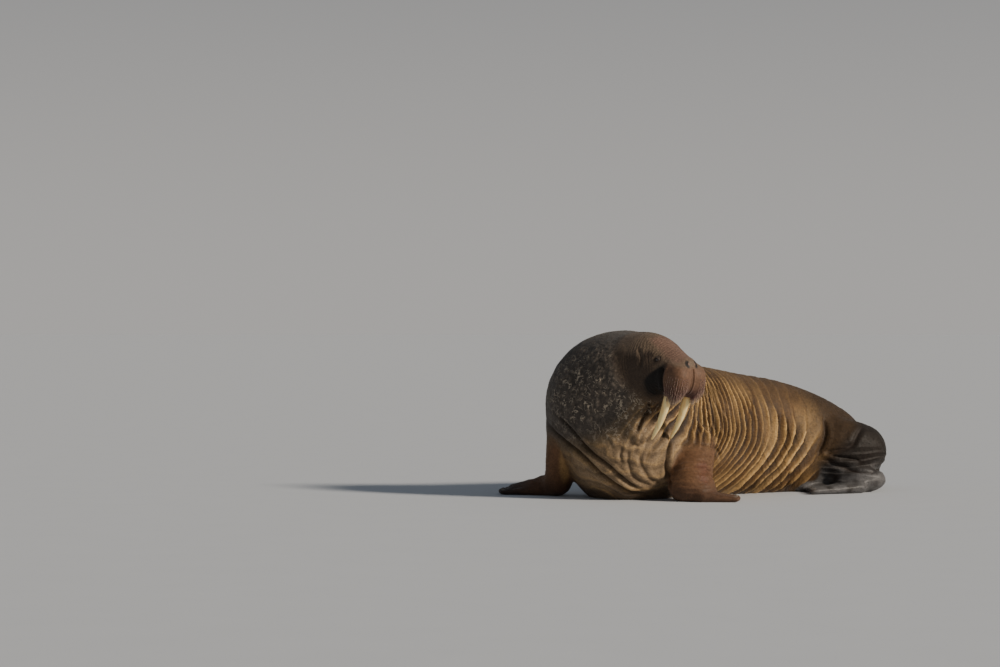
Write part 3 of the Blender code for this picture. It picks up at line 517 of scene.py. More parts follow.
def tusk_line(side, steps, grow=0.0):
    root = head_point(TUSK_ROOT[0], side * TUSK_ROOT[1], TUSK_ROOT[2])
    tip = head_point(TUSK_TIP[0], side * TUSK_TIP[1], TUSK_TIP[2])
    points, radii = [], []
    for t in np.linspace(0, 1, steps + 1):
        points.append(root + (tip - root) * t + 4 * TUSK_BOW * t * (1 - t) * HEAD_AXES[0])
        radii.append((TUSK_RADIUS - TUSK_TIP_RADIUS) * (1 - t ** TUSK_TAPER) + TUSK_TIP_RADIUS + grow)
    return points, radii


def skin_field(p):
    """The render's skin: the solids' field set in by the coat's depth, with pockets for eyes, nostrils and tusks."""
    d = walrus_field(p) + COAT_DEPTH
    near = np.linalg.norm(p - head_point(0.08, 0, -0.10), axis=1) < 0.32
    if not near.any():
        return d
    q, e = p[near], d[near]
    for side in (-1, 1):
        pocket = np.linalg.norm(q - EYE_CENTRES[side], axis=1) - EYE_RADIUS - 0.0008
        e = carve(e, pocket, 0.006)
        line = NOSTRILS[side]
        for a, b in zip(line[:-1], line[1:]):
            e = carve(e, taper(q, a, b, 0.0052, 0.0052), 0.003)
        points, radii = tusk_line(side, 10, 0.0015)
        for i in range(3):
            e = carve(e, taper(q, points[i], points[i + 1], radii[i], radii[i + 1]), 0.008)
    d[near] = e
    return d


# From a field to a mesh

def in_chunks(field, points, most=12000):
    """The field at many points, worked out side by side."""
    with ThreadPoolExecutor(4) as pool:
        parts = list(pool.map(lambda i: field(points[i:i + most]), range(0, len(points), most)))
    return np.concatenate(parts) if parts else np.zeros(0)


def grid_values(field, axes, cell, stride=4):
    """Field values on a grid: exact near the skin, and from a coarser grid elsewhere."""
    coarse = [a[::stride] for a in axes]
    corners = np.stack(np.meshgrid(*coarse, indexing="ij"), -1).reshape(-1, 3)
    rough = in_chunks(field, corners).reshape([len(c) for c in coarse])
    pick = [np.minimum((np.arange(len(a)) + stride // 2) // stride, len(c) - 1) for a, c in zip(axes, coarse)]
    value = rough[np.ix_(*pick)].copy()
    near = np.argwhere(np.abs(value) < cell * stride * 1.3)
    points = np.stack([axes[k][near[:, k]] for k in range(3)], 1)
    value[near[:, 0], near[:, 1], near[:, 2]] = in_chunks(field, points)
    return value


def settle(field, points, most, step=4e-4):
    """Moves points along the field's slope on to the skin, by no more than most."""
    value = in_chunks(field, points)
    slope = np.stack([in_chunks(field, points + shift) - value for shift in np.eye(3) * step], 1) / step
    move = -value[:, None] * slope / np.maximum((slope * slope).sum(1), 1e-6)[:, None]
    size = np.linalg.norm(move, axis=1)
    return points + move * np.minimum(1, most / np.maximum(size, 1e-9))[:, None]


def form_distance(p, index):
    """Distance to one of the forms, or far where a point is outside its box."""
    form, _, low, high = FORMS[index]
    out = np.full(len(p), 9.0)
    near = ((p > low) & (p < high)).all(1)
    if near.any():
        out[near] = form(p[near])
    return out


def surface_net(field, low, high, cell):
    """The skin of a field in a box, as points and four-sided faces that point outwards."""
    low = np.array(low, float)
    count = np.ceil((np.array(high) - low) / cell).astype(int) + 1
    axes = [low[k] + cell * np.arange(count[k]) for k in range(3)]
    value = grid_values(field, axes, cell)
    cells = count - 1
    total, hits = np.zeros((*cells, 3)), np.zeros(cells)
    for axis in range(3):
        o1, o2 = [k for k in range(3) if k != axis]
        a = np.take(value, range(cells[axis]), axis)
        b = np.take(value, range(1, count[axis]), axis)
        cross = (a < 0) != (b < 0)
        t = np.where(cross, a / np.where(a == b, 1, a - b), 0)
        for c1, c2 in ((0, 0), (0, 1), (1, 0), (1, 1)):
            part = [slice(None)] * 3
            part[o1], part[o2] = slice(c1, c1 + cells[o1]), slice(c2, c2 + cells[o2])
            hit = cross[tuple(part)]
            hits += hit
            total[..., axis] += np.where(hit, t[tuple(part)], 0)
            total[..., o1] += hit * c1
            total[..., o2] += hit * c2
    active = hits > 0
    index = np.full(cells, -1)
    index[active] = np.arange(active.sum())
    points = low + cell * (np.argwhere(active) + total[active] / hits[active][:, None])
    faces = []
    for axis in range(3):
        o1, o2 = [k for k in range(3) if k != axis]
        inside = np.take(value, range(cells[axis]), axis) < 0
        edge = np.argwhere(inside != (np.take(value, range(1, count[axis]), axis) < 0))
        edge = edge[(edge[:, o1] > 0) & (edge[:, o2] > 0) & (edge[:, o1] < cells[o1]) & (edge[:, o2] < cells[o2])]
        corners = []
        for s1, s2 in ((-1, -1), (0, -1), (0, 0), (-1, 0)):
            at = edge.copy()
            at[:, o1] += s1
            at[:, o2] += s2
            corners.append(index[at[:, 0], at[:, 1], at[:, 2]])
        face = np.stack(corners, 1)
        turned = inside[edge[:, 0], edge[:, 1], edge[:, 2]] == (axis == 1)
        face[turned] = face[turned][:, ::-1]
        faces.append(face)
    for _ in range(2):
        points = settle(field, points, cell * 0.4)
    return points, np.concatenate(faces)


def refine(points, quads, others, chosen):
    """Splits the chosen quads in four. A neighbour takes the new middle points into its own outline."""
    count = len(points)
    ends = np.stack([quads, np.roll(quads, -1, axis=1)], -1)
    keys = ends.min(-1) * count + ends.max(-1)
    split = np.unique(keys[chosen])
    middles = (points[split // count] + points[split % count]) / 2
    centres = points[quads[chosen]].mean(1)
    at = np.minimum(np.searchsorted(split, keys), len(split) - 1)
    cut = split[at] == keys
    middle = count + at
    centre = count + len(split) + np.arange(chosen.sum())
    q, m = quads[chosen], middle[chosen]
    small = [np.stack([q[:, k], m[:, k], centre, m[:, k - 1]], 1) for k in range(4)]
    rest = ~chosen & ~cut.any(1)
    border = np.flatnonzero(~chosen & cut.any(1))
    new_others = []
    for i in border:
        ring = []
        for k in range(4):
            ring.append(int(quads[i, k]))
            if cut[i, k]:
                ring.append(int(middle[i, k]))
        new_others.append(ring)
    places = {int(key): count + n for n, key in enumerate(split)} if others else {}
    for ring in others:
        new = []
        for a, b in zip(ring, ring[1:] + ring[:1]):
            new.append(a)
            place = places.get(min(a, b) * count + max(a, b))
            if place is not None:
                new.append(place)
        new_others.append(new)
    return np.vstack([points, middles, centres]), np.vstack([quads[rest]] + small), new_others


def mesh_object(name, points, quads, others=()):
    """A piece in the part's frame, from points in the design frame."""
    mesh = bpy.data.meshes.new(name)
    faces = [tuple(f) for f in quads] + [tuple(f) for f in others]
    mesh.from_pydata((np.asarray(points, float) - PART_ORIGIN).tolist(), [], faces)
    mesh.shade_smooth()
    obj = bpy.data.objects.new(name, mesh)
    bpy.context.scene.collection.objects.link(obj)
    return obj


def set_values(obj, name, values):
    """Stores a colour or three numbers for each point, for the material to read."""
    layer = obj.data.attributes.new(name, "FLOAT_COLOR", "POINT")
    rows = np.ones((len(values), 4), np.float32)
    rows[:, :3] = values
    layer.data.foreach_set("color", rows.ravel())


# Relief of the hide, as heights along the skin's normal

def front_hit(across, up):
    """Where the line from the camera through a point of the picture plane first meets the skin."""
    start = np.array(CAMERA_PLACE)
    target = np.array([across, 0.0, up])
    ray = unit(target - start)
    reach = np.linalg.norm(target - start) + np.linspace(-1.2, 2.4, 900)
    inside = np.flatnonzero(walrus_field(start + reach[:, None] * ray) < 0)
    return start + ray * reach[inside[0]] if len(inside) else None


def crease_lines():
    lines = []
    for depth, wide, points in CREASES:
        path = [front_hit(*row) for row in smooth_line(points, 5)]
        lines.append((depth, wide, np.array([p for p in path if p is not None])))
    for depth, wide, points in FACE_CREASES:
        for side in (-1, 1):
            path = []
            for f, l, h in smooth_line(points, 4):
                inner = head_point(f * 0.4, side * l * 0.6, h)
                path.append(skin_point(inner, unit(head_point(f, side * l, h) - inner), 0.3))
            lines.append((depth, wide, np.array(path)))
    return lines


def near_line(p, line, reach):
    """Distance to a path, for points within reach of it, and how far along it, 0 to 1."""
    far = np.full(len(p), 9.0)
    share = np.zeros(len(p))
    low, high = line.min(0) - reach, line.max(0) + reach
    near = np.flatnonzero(((p > low) & (p < high)).all(1))
    q = p[near]
    best, place = np.full(len(q), 9.0), np.zeros(len(q))
    for i, (a, b) in enumerate(zip(line[:-1], line[1:])):
        along = b - a
        t = np.clip(((q - a) @ along) / max(along @ along, 1e-9), 0, 1)
        distance = np.linalg.norm(q - a - t[:, None] * along, axis=1)
        closer = distance < best
        best = np.where(closer, distance, best)
        place = np.where(closer, (i + t) / (len(line) - 1), place)
    far[near], share[near] = best, place
    return far, share


def fold_phase(station):
    """How many flank folds lie between a station and the front one. They widen towards the hips."""
    behind = FOLD_FRONT - station
    wide = np.log(np.maximum(1 + FOLD_GROWTH * behind / FOLD_TIGHT, 0.2)) / FOLD_GROWTH
    return np.where(behind > 0, wide, behind / FOLD_TIGHT)


def sharp_rolls(phase, lean):
    """Rolls with a narrow crest: rises slowly over the share lean of each turn, then falls fast. 0 to 1."""
    f = phase - np.floor(phase)
    rise = np.where(f < lean, f / lean, (1 - f) / (1 - lean))
    return rise ** 1.35


def band(x, low, high, soft):
    """1 between low and high, fading over soft on both sides."""
    return ramp(x, low - soft, low) * (1 - ramp(x, high, high + soft))


class Hide:
    """Masks and folds at a set of points on the skin."""

    def __init__(self, p):
        self.p = p
        self.station, self.lateral, _, size = along_spine(p)
        self.angle = np.arctan2(self.lateral, p[:, 2] - size[:, 2])
        self.share_up = p[:, 2] / size[:, 1]
        self.local = (p - np.array(BROW)) @ HEAD_AXES.T
        self.up_neck = (p - head_point(-0.155, 0, -0.14)) @ NECK_AXIS
        self.head = ramp(self.up_neck, -0.05, 0.03) * ramp(p[:, 2], 0.42, 0.56)
        self.fore = 1 - ramp(in_chunks(lambda q: np.minimum(form_distance(q, 2), form_distance(q, 3)), p), 0.0, 0.035)
        self.fore = self.fore * (1 - ramp(p[:, 2], 0.30, 0.46))
        self.hind = 1 - ramp(in_chunks(lambda q: np.minimum(form_distance(q, 4), form_distance(q, 5)), p), 0.005, 0.045)
        self.eye_far = np.minimum(*(np.linalg.norm(p - EYE_CENTRES[side], axis=1) for side in (-1, 1)))

    def flank(self):
        """Ring folds round the trunk, each tucked under the one in front, swept forward at the lower end."""
        p = self.p
        sweep = FOLD_SWEEP * ramp(-p[:, 2], -0.50, 0.05) ** 1.2
        drift = 0.95 * noise(p * (1, 1, 0.6), 0.38, 5) + 0.15 * noise(p, 0.09, 11)
        phase = fold_phase(self.station - sweep) + drift
        fork = ramp(noise(p, 0.33, 21), 0.05, 0.35)
        other = phase * 1.23 + 0.5
        rolls = sharp_rolls(phase, FOLD_LEAN) * (1 - fork) + sharp_rolls(other, FOLD_LEAN) * fork
        width = FOLD_TIGHT + FOLD_GROWTH * np.clip(FOLD_FRONT - self.station, 0, 0.8)
        where = ramp(self.station, 0.40, 0.85) * (1 - ramp(self.station, 1.62, 1.95))
        limit = np.interp(self.station, (0.75, 1.40), (0.62, 0.92))
        where = where * (1 - 0.9 * ramp(self.share_up, limit - 0.12, limit + 0.10)) * (1 - self.fore) * (1 - self.hind)
        where = where * np.clip(0.78 + 0.60 * noise(p, 0.20, 3), 0.2, 1.2)
        where = where * (1 - 0.45 * ramp(-self.lateral, 0.10, 0.35))
        fine = sharp_rolls(phase * 2.7 + 0.8 * noise(p, 0.12, 8), 0.7)
        height = FOLD_DEPTH * width * (rolls - 0.55) * where + 0.020 * width * (fine - 0.5) * where
        each = noise(np.stack([np.floor(phase) * 3.7, p[:, 2] * 2.5, np.sign(self.lateral)], 1), 1.0, 31)
        return height, rolls, where, each

    def neck(self):
        """Slack folds of the throat, that fan out downwards from under the muzzle."""
        p = self.p
        drift = 0.8 * noise(p, 0.24, 15) + 0.15 * noise(p, 0.05, 13)
        fan = np.arctan2(p[:, 0] - THROAT_TOP[0], THROAT_TOP[1] - p[:, 2])
        phase = fan / THROAT_SPREAD + drift
        where = blob(p, (0.00, 0.24, 0.62), (0.40, 0.42, 0.46))
        where = where + 0.3 * blob(p, (-0.26, 0.02, 0.44), (0.30, 0.30, 0.28))
        where = np.clip(where, 0, 1) * (1 - self.head) * (1 - self.fore)
        where = where * ramp(np.hypot(p[:, 0] - THROAT_TOP[0], THROAT_TOP[1] - p[:, 2]), 0.05, 0.17)
        rolls = sharp_rolls(phase, 0.72)
        return THROAT_DEPTH * (rolls - 0.55) * where, rolls, where

    def chest(self):
        """Slack folds low on the chest, that hang in shallow bows between the forelimbs."""
        p = self.p
        centre = np.array([-0.36, 0.0, 0.66])
        bow = np.linalg.norm((p - centre) * (0.85, 0.45, 1.0), axis=1)
        phase = bow / 0.085 + 0.8 * noise(p, 0.20, 25) + 0.15 * noise(p, 0.05, 26)
        where = blob(p, (-0.46, 0.05, 0.20), (0.50, 0.55, 0.30)) * (1 - self.fore) * (1 - self.head)
        rolls = sharp_rolls(phase, 0.70)
        return 0.006 * (rolls - 0.55) * where, rolls, where

    def limbs(self):
        """Bands round the wrists and ankles, and fine wrinkles along the webs."""
        p = self.p
        drift = 0.5 * noise(p, 0.12, 51)
        wrist = blob(p, (0.03, 0.03, 0.15), (0.26, 0.28, 0.19)) + blob(p, (-0.92, 0.74, 0.16), (0.26, 0.26, 0.20))
        ankle = blob(p, (1.22, 1.02, 0.20), (0.34, 0.32, 0.20)) + blob(p, (1.20, 1.66, 0.18), (0.32, 0.30, 0.20))
        bands = sharp_rolls(p[:, 2] / 0.036 + drift, 0.6)
        folds = sharp_rolls(p[:, 2] / 0.046 + 0.6 * noise(p, 0.20, 53), 0.75)
        height = 0.0055 * (bands - 0.5) * np.clip(wrist, 0, 1) * self.fore
        height += 0.0080 * (folds - 0.5) * np.clip(ankle, 0, 1) * self.hind
        return height, bands * np.clip(wrist, 0, 1) * self.fore + folds * np.clip(ankle, 0, 1) * self.hind

    def face(self):
        """Wrinkles across the crown, and rings round the eyes."""
        p, (f, l, h) = self.p, self.local.T
        crown = sharp_rolls(f / 0.017 + 0.55 * noise(p, 0.06, 61), 0.5)
        on_crown = ramp(h, -0.03, 0.03) * band(f, -0.14, 0.10, 0.05) * self.head
        rings = sharp_rolls(self.eye_far / 0.0088 + 0.5 * noise(p, 0.025, 63), 0.5)
        on_rings = band(self.eye_far, 0.028, 0.042, 0.022) * (self.eye_far > 0.0235)
        cheek = sharp_rolls((f + 0.5 * h) / 0.021 + 0.6 * noise(p, 0.07, 65), 0.6)
        on_cheek = band(f, -0.20, -0.02, 0.05) * ramp(np.abs(l), 0.06, 0.10) * self.head * (1 - on_rings)
        height = 0.0014 * (crown - 0.5) * on_crown + 0.0010 * (rings - 0.5) * on_rings
        return height + 0.0015 * (cheek - 0.5) * on_cheek, crown * on_crown, rings * on_rings

    def knobs(self, rng):
        """Small lumps of thick hide over the front and right of the neck."""
        strength = self.knobby
        near = np.flatnonzero(strength > 0.15)
        height = np.zeros(len(self.p))
        seeds = self.p[rng.choice(near, KNOBS)]
        sizes = rng.uniform(0.009, 0.021, len(seeds))
        weights = rng.uniform(0.4, 1.0, len(seeds))
        q = self.p[near]
        best = np.zeros(len(near))
        for centre, size, weight in zip(seeds, sizes, weights):
            close = np.flatnonzero(np.abs(q - centre).max(1) < size)
            distance = np.linalg.norm(q[close] - centre, axis=1) / size
            best[close] = np.maximum(best[close], weight * (1 - ramp(distance, 0.2, 1.0)))
        height[near] = best * strength[near]
        return height

    @property
    def knobby(self):
        return blob(self.p, (-0.66, 0.12, 0.70), (0.44, 0.55, 0.42)) * (1 - self.head)


def relief(hide):
    """Height over the smooth skin, and the parts of it that the colours follow."""
    p = hide.p
    flank, flank_rolls, flank_where, each = hide.flank()
    neck, neck_rolls, neck_where = hide.neck()
    chest, chest_rolls, chest_where = hide.chest()
    limbs, limb_tone = hide.limbs()
    face, crown, rings = hide.face()
    knob = hide.knobs(np.random.default_rng(17))
    height = flank + neck + chest + limbs + face + 0.0060 * knob
    deep = np.zeros(len(p))
    for depth, wide, line in crease_lines():
        far, share = near_line(p, line, wide * 4)
        ends = ramp(np.minimum(share, 1 - share), 0.0, 0.14) * 0.85 + 0.15
        groove = np.exp(-(far / wide) ** 2 * 1.6) * ends
        shoulder = np.exp(-((far - wide * 2.0) / wide) ** 2) * ends
        height += -depth * groove + depth * 0.30 * shoulder
        deep = np.maximum(deep, groove * min(1.0, depth / 0.020))
    loose = layered(p, 0.055, 41)
    height += 0.0024 * loose * (1 - hide.head) + 0.0009 * layered(p, 0.022, 43, 2)
    clear = ramp(hide.eye_far, EYE_RADIUS, EYE_RADIUS + 0.006) * ramp(p[:, 2], 0.0, 0.05)
    tone = {"flank": flank_rolls, "flank_where": flank_where, "each": each, "neck": neck_rolls,
            "neck_where": neck_where, "chest": chest_rolls, "chest_where": chest_where,
            "limbs": limb_tone, "crown": crown, "rings": rings, "knob": knob, "deep": deep}
    return height * clear, tone


# Markings, with painted shade and painted highlights, the same for hide and coat

def mix(a, b, share):
    return a + (np.asarray(b) - a) * np.clip(share, 0, 1)[:, None]


def paint(hide, tone):
    """A colour for each point, with painted shade in hollows and painted highlights on crests."""
    p, (f, l, h) = hide.p, hide.local.T
    c = np.tile(np.array(PALETTE["flank"]), (len(p), 1))
    c = mix(c, PALETTE["gold"], 0.60 * tone["each"] + 0.10)
    c = mix(c, PALETTE["back"], ramp(hide.share_up, 0.66, 0.95) * 0.85)
    c = mix(c, PALETTE["back"], 0.6 * ramp(noise(p, 0.16, 83), 0.1, 0.6))
    c = mix(c, PALETTE["hip"], 1 - ramp(hide.station, 0.34, 0.78))
    c = mix(c, PALETTE["chest"], blob(p, (-0.40, 0.02, 0.20), (0.62, 0.55, 0.44)) * 1.2)
    # Painted shade: the chest's underside is darker near the floor.
    under = (1 - ramp(p[:, 2], 0.04, 0.13)) * ramp(-p[:, 0], -0.05, 0.15)
    c = mix(c, PALETTE["hip"], under * 0.75)
    dark_neck = blob(p, (-0.72, 0.26, 0.86), (0.66, 0.80, 0.66))
    c = mix(c, PALETTE["olive"], ramp(dark_neck, 0.02, 0.30) * 0.9)
    c = mix(c, PALETTE["neck"], ramp(dark_neck, 0.22, 0.75))
    c = mix(c, PALETTE["knob"], tone["knob"] * 0.55)
    # Painted highlight: gold on the crests of the flank, throat and chest folds, as if they catch the key light.
    crest = ramp(tone["flank"], 0.62, 0.95) * tone["flank_where"]
    c = mix(c, PALETTE["gold"], crest * (0.85 + 0.5 * tone["each"]))
    c = mix(c, PALETTE["gold"], ramp(tone["neck"], 0.60, 1.0) * tone["neck_where"] * 0.9)
    c = mix(c, PALETTE["gold"], ramp(tone["chest"], 0.60, 0.95) * tone["chest_where"] * 0.25)
    c = mix(c, PALETTE["crown"], hide.head * 0.95)
    c = mix(c, PALETTE["rosy"], hide.head * band(f, -0.08, 0.13, 0.07) * (1 - ramp(np.abs(l), 0.075, 0.125)) * ramp(h, -0.045, 0.01) * 0.85)
    c = mix(c, PALETTE["muzzle"], hide.head * ramp(f, 0.05, 0.12) * ramp(-h, 0.0, 0.04))
    c = mix(c, PALETTE["pad_low"], hide.head * ramp(f, 0.02, 0.08) * ramp(-h, 0.12, 0.21) * 0.8)
    # Painted shade: the cheeks behind and below the muzzle are darkened, as if in the muzzle's shadow.
    c = mix(c, PALETTE["cheek"], hide.head * ramp(-f, -0.08, 0.0) * ramp(-h, 0.0, 0.05) * 0.85)
    # Painted shade: dark round each eye and in a patch behind and below it.
    socket = 1 - ramp(hide.eye_far, EYE_RADIUS - 0.004, EYE_RADIUS + 0.024)
    for side in (-1, 1):
        socket = np.maximum(socket, blob(p, head_point(-0.055, side * 0.12, -0.012), (0.060, 0.08, 0.052), HEAD_AXES))
        # Painted shadow: near black under and behind each pad, where the muzzle shades the throat.
        low = blob(p, head_point(0.045, side * 0.14, -0.195), (0.110, 0.16, 0.235), HEAD_AXES)
        low = low * ramp(1.127 * f - 0.1135 - h, -0.015, 0.025)
        c = mix(c, PALETTE["recess_shadow"], low * 1.5 * (1 - ramp(f, 0.092, 0.120)))
    c = mix(c, PALETTE["socket"], socket * 0.80)
    c = mix(c, PALETTE["flipper"], hide.fore)
    # Painted shade: the forelimbs are darker near the floor.
    c = mix(c, PALETTE["flipper_floor_shade"], hide.fore * (1 - ramp(p[:, 2], 0.05, 0.16)) * 0.7)
    sore = blob(p, (0.10, -0.04, 0.21), (0.09, 0.14, 0.12)) * (0.6 + 0.9 * noise(p, 0.05, 85))
    c = mix(c, PALETTE["sore"], sore * hide.fore * 0.6)
    # Painted highlight: a lit ridge down the right forearm.
    c = mix(c, PALETTE["gold"], blob(p, (-0.80, 0.48, 0.25), (0.055, 0.40, 0.20)) * hide.fore * 0.45)
    c = mix(c, PALETTE["dark"], ramp(-p[:, 0], 0.98, 1.28) * 0.8)
    past_hip = 0.755 * (p[:, 0] - 1.22) - 0.655 * (p[:, 2] - 0.45)
    rear = np.maximum(hide.hind, 0.8 * (1 - ramp(hide.station, 0.02, 0.30)))
    c = mix(c, PALETTE["heel"], rear * ramp(past_hip, -0.05, 0.05))
    webbed = ramp(hide.hind, 0.1, 0.6) * (1 - ramp(p[:, 2], 0.10, 0.24))
    c = mix(c, PALETTE["hind"], webbed * (0.85 + 0.9 * noise(p, 0.05, 87)))
    for side in (-1, 1):
        inner = NOSTRILS[side][3] - side * 0.013 * HEAD_AXES[1]
        c = mix(c, PALETTE["pink"], 0.30 * (1 - ramp(np.linalg.norm(p - inner, axis=1), 0.004, 0.015)))
        # Painted shade: near black in and round each nostril slit.
        for point in NOSTRILS[side]:
            c = mix(c, PALETTE["nostril"], 0.85 * (1 - ramp(np.linalg.norm(p - point, axis=1), 0.005, 0.017)))
    mottle = layered(p, 0.12, 71)
    fine = layered(p, 0.02, 77)
    c = c * (1 + 0.20 * mottle + 0.13 * fine)[:, None]
    # Painted shade: dark in the valleys of the flank, throat and chest folds.
    c = mix(c, PALETTE["crease_shade"], (1 - ramp(tone["flank"], 0.10, 0.68)) * tone["flank_where"])
    c = mix(c, PALETTE["crease_shade"], (1 - ramp(tone["neck"], 0.05, 0.60)) * tone["neck_where"] * 0.95)
    c = mix(c, PALETTE["crease_shade"], (1 - ramp(tone["chest"], 0.02, 0.30)) * tone["chest_where"] * 0.35)
    # Painted shade in the hollows of the crown's wrinkles.
    lines = (1 - ramp(tone["crown"], 0.0, 0.3)) * hide.head * band(f, -0.12, 0.09, 0.04) * ramp(h, -0.02, 0.03)
    c = c * (1 - 0.25 * lines)[:, None]
    # Painted shade along the deep creases.
    c = mix(c, PALETTE["crease_shade"], tone["deep"] * 0.80)
    return np.clip(c, 0.003, 1)


def marks(hide, tone):
    """How strongly each point carries pale strokes, hair streaks and a wet gloss."""
    p = hide.p
    strokes = np.maximum(blob(p, (-0.74, 0.04, 0.74), (0.40, 0.46, 0.36)), blob(p, (-0.46, -0.02, 0.62), (0.34, 0.34, 0.30)))
    strokes = np.maximum(strokes, 0.45 * ramp(hide.knobby, 0.1, 0.6)) * (1 - hide.head)
    streaks = (1 - hide.head) * (1 - hide.fore) * (1 - hide.hind)
    wet = np.maximum(0.7 * ramp(hide.hind, 0.3, 0.9) * (1 - ramp(p[:, 2], 0.05, 0.3)), ramp(-p[:, 0], 0.95, 1.2) * 0.8)
    return np.stack([strokes, streaks, wet], 1)


def lie(hide):
    """The way the short hair points: from nose to tail, and down the limbs to the tips."""
    p = hide.p
    along = np.diff(SPINE_LINE[:, :2], axis=0)
    along /= np.linalg.norm(along, axis=1)[:, None]
    places = (SPINE_LENGTH[1:] + SPINE_LENGTH[:-1]) / 2
    way = np.stack([-np.interp(hide.station, places, along[:, k]) for k in range(2)] + [np.full(len(p), -0.30)], 1)
    neck = 1 - ramp(np.linalg.norm(p - (-0.35, 0.22, 0.70), axis=1), 0.25, 0.55)
    way = mix(way, -NECK_AXIS + (0, 0, -0.2), neck)
    way = mix(way, -HEAD_AXES[0] + (0, 0, -0.2), hide.head)
    way = mix(way, (0.0, -0.1, -1.0), np.maximum(hide.fore, 0.8 * hide.hind))
    for hand in HANDS:
        root, tip, _, _ = digit_line(hand, 2)
        on_hand = 1 - ramp(taper(p, root, tip, 0.08, 0.14), 0.0, 0.05)
        way = mix(way, unit(tip - root), on_hand * (1 - ramp(p[:, 2], 0.10, 0.20)))
    return way + 0.22 * np.stack([noise(p, 0.10, 91), noise(p, 0.10, 92), noise(p, 0.10, 93)], 1)


# Materials

def node_material(name):
    material = bpy.data.materials.new(name)
    material.use_nodes = True
    tree = material.node_tree
    return material, tree, tree.nodes["Principled BSDF"]


class Nodes:
    """Short ways to add shader nodes to a material."""

    def __init__(self, tree):
        self.tree = tree

    def add(self, kind, settings=(), links=()):
        node = self.tree.nodes.new(kind)
        for name, value in settings:
            if name in node.inputs:
                node.inputs[name].default_value = value
            else:
                setattr(node, name, value)
        for name, socket in links:
            self.tree.links.new(socket, node.inputs[name])
        return node

    def noise(self, scale, detail, vector, distortion=0.0):
        return self.add("ShaderNodeTexNoise", (("Scale", scale), ("Detail", detail), ("Distortion", distortion)),
                        (("Vector", vector),)).outputs["Fac"]

    def span(self, value, from_low, from_high, low=0.0, high=1.0):
        settings = (("From Min", from_low), ("From Max", from_high), ("To Min", low), ("To Max", high))
        return self.add("ShaderNodeMapRange", settings, (("Value", value),)).outputs["Result"]

    def math(self, operation, a, b):
        node = self.add("ShaderNodeMath", (("operation", operation),))
        for index, value in enumerate((a, b)):
            if isinstance(value, (int, float)):
                node.inputs[index].default_value = value
            else:
                self.tree.links.new(value, node.inputs[index])
        return node.outputs[0]

    def bump(self, height, strength, distance, normal=None):
        node = self.add("ShaderNodeBump", (("Strength", strength), ("Distance", distance)), (("Height", height),))
        if normal is not None:
            self.tree.links.new(normal, node.inputs["Normal"])
        return node.outputs["Normal"]


def hide_material(name, rough, bump, sheen):
    """Leathery hide: the stored markings, which carry painted shade and painted highlights, with pale strokes, hair
    streaks, grain and pores.
    """
    material, tree, shader = node_material(name)
    n = Nodes(tree)
    colour = n.add("ShaderNodeAttribute", (("attribute_name", "Hide"),)).outputs["Color"]
    marked = n.add("ShaderNodeAttribute", (("attribute_name", "Marks"),)).outputs["Color"]
    parts = n.add("ShaderNodeSeparateColor", (), (("Color", marked),)).outputs
    lying = n.add("ShaderNodeAttribute", (("attribute_name", "Lie"),)).outputs["Vector"]
    place = n.add("ShaderNodeTexCoord").outputs["Object"]
    grain = n.noise(95.0, 5.0, place)
    streak_place = n.add("ShaderNodeMapping", (("Scale", (30.0, 230.0, 1.0)),), (("Vector", lying),)).outputs["Vector"]
    streak = n.noise(1.0, 3.0, streak_place)
    ring_place = n.add("ShaderNodeMapping", (("Scale", (95.0, 9.0, 1.0)),), (("Vector", lying),)).outputs["Vector"]
    ring = n.noise(1.0, 3.0, ring_place, 0.6)
    line = n.math("ABSOLUTE", n.math("SUBTRACT", n.noise(STROKE_SCALE, 1.5, place, 0.9), 0.5), 0.0)
    thin = n.span(line, 0.042, 0.012)
    broken = n.span(n.noise(STROKE_SCALE * 0.75, 1.0, place), 0.44, 0.54)
    patchy = n.span(n.noise(7.0, 2.0, place), 0.30, 0.52)
    stroke = n.math("MULTIPLY", n.math("MULTIPLY", thin, broken), n.math("MULTIPLY", patchy, parts["Red"]))
    tone = n.span(grain, 0.3, 0.7, 0.74, 1.24)
    soft = n.math("MULTIPLY_ADD", n.math("SUBTRACT", streak, 0.5), parts["Green"])
    soft.node.inputs[2].default_value = 1.0
    rings = n.math("MULTIPLY_ADD", n.math("MULTIPLY", n.math("SUBTRACT", ring, 0.5), 0.5), parts["Green"])
    rings.node.inputs[2].default_value = 1.0
    scale = n.math("MULTIPLY", n.math("MULTIPLY", tone, soft), rings)
    times = n.add("ShaderNodeVectorMath", (("operation", "SCALE"),), ((0, colour), ("Scale", scale)))
    pale = n.add("ShaderNodeMix", (("data_type", "RGBA"),))
    tree.links.new(n.math("MULTIPLY", stroke, 0.85), pale.inputs[0])
    tree.links.new(times.outputs["Vector"], pale.inputs[6])
    pale.inputs[7].default_value = (*PALETTE["stroke"], 1)
    tree.links.new(pale.outputs[2], shader.inputs["Base Color"])
    cells = n.add("ShaderNodeTexVoronoi", (("feature", "DISTANCE_TO_EDGE"), ("Scale", 130.0)), (("Vector", place),))
    normal = n.bump(n.span(cells.outputs["Distance"], 0.0, 0.25), bump * 0.6, 0.0012)
    normal = n.bump(grain, bump, 0.004, normal)
    normal = n.bump(n.math("MULTIPLY", ring, parts["Green"]), 0.3, 0.006, normal)
    normal = n.bump(n.math("MULTIPLY", streak, parts["Green"]), 0.35, 0.003, normal)
    normal = n.bump(stroke, 0.5, 0.003, normal)
    tree.links.new(normal, shader.inputs["Normal"])
    gloss = n.math("SUBTRACT", n.span(grain, 0.0, 1.0, rough - 0.12, rough + 0.12), n.math("MULTIPLY", parts["Blue"], 0.25))
    tree.links.new(gloss, shader.inputs["Roughness"])
    shader.inputs["Sheen Weight"].default_value = sheen
    shader.inputs["Sheen Roughness"].default_value = 0.5
    shader.inputs["Specular IOR Level"].default_value = 0.25
    return material


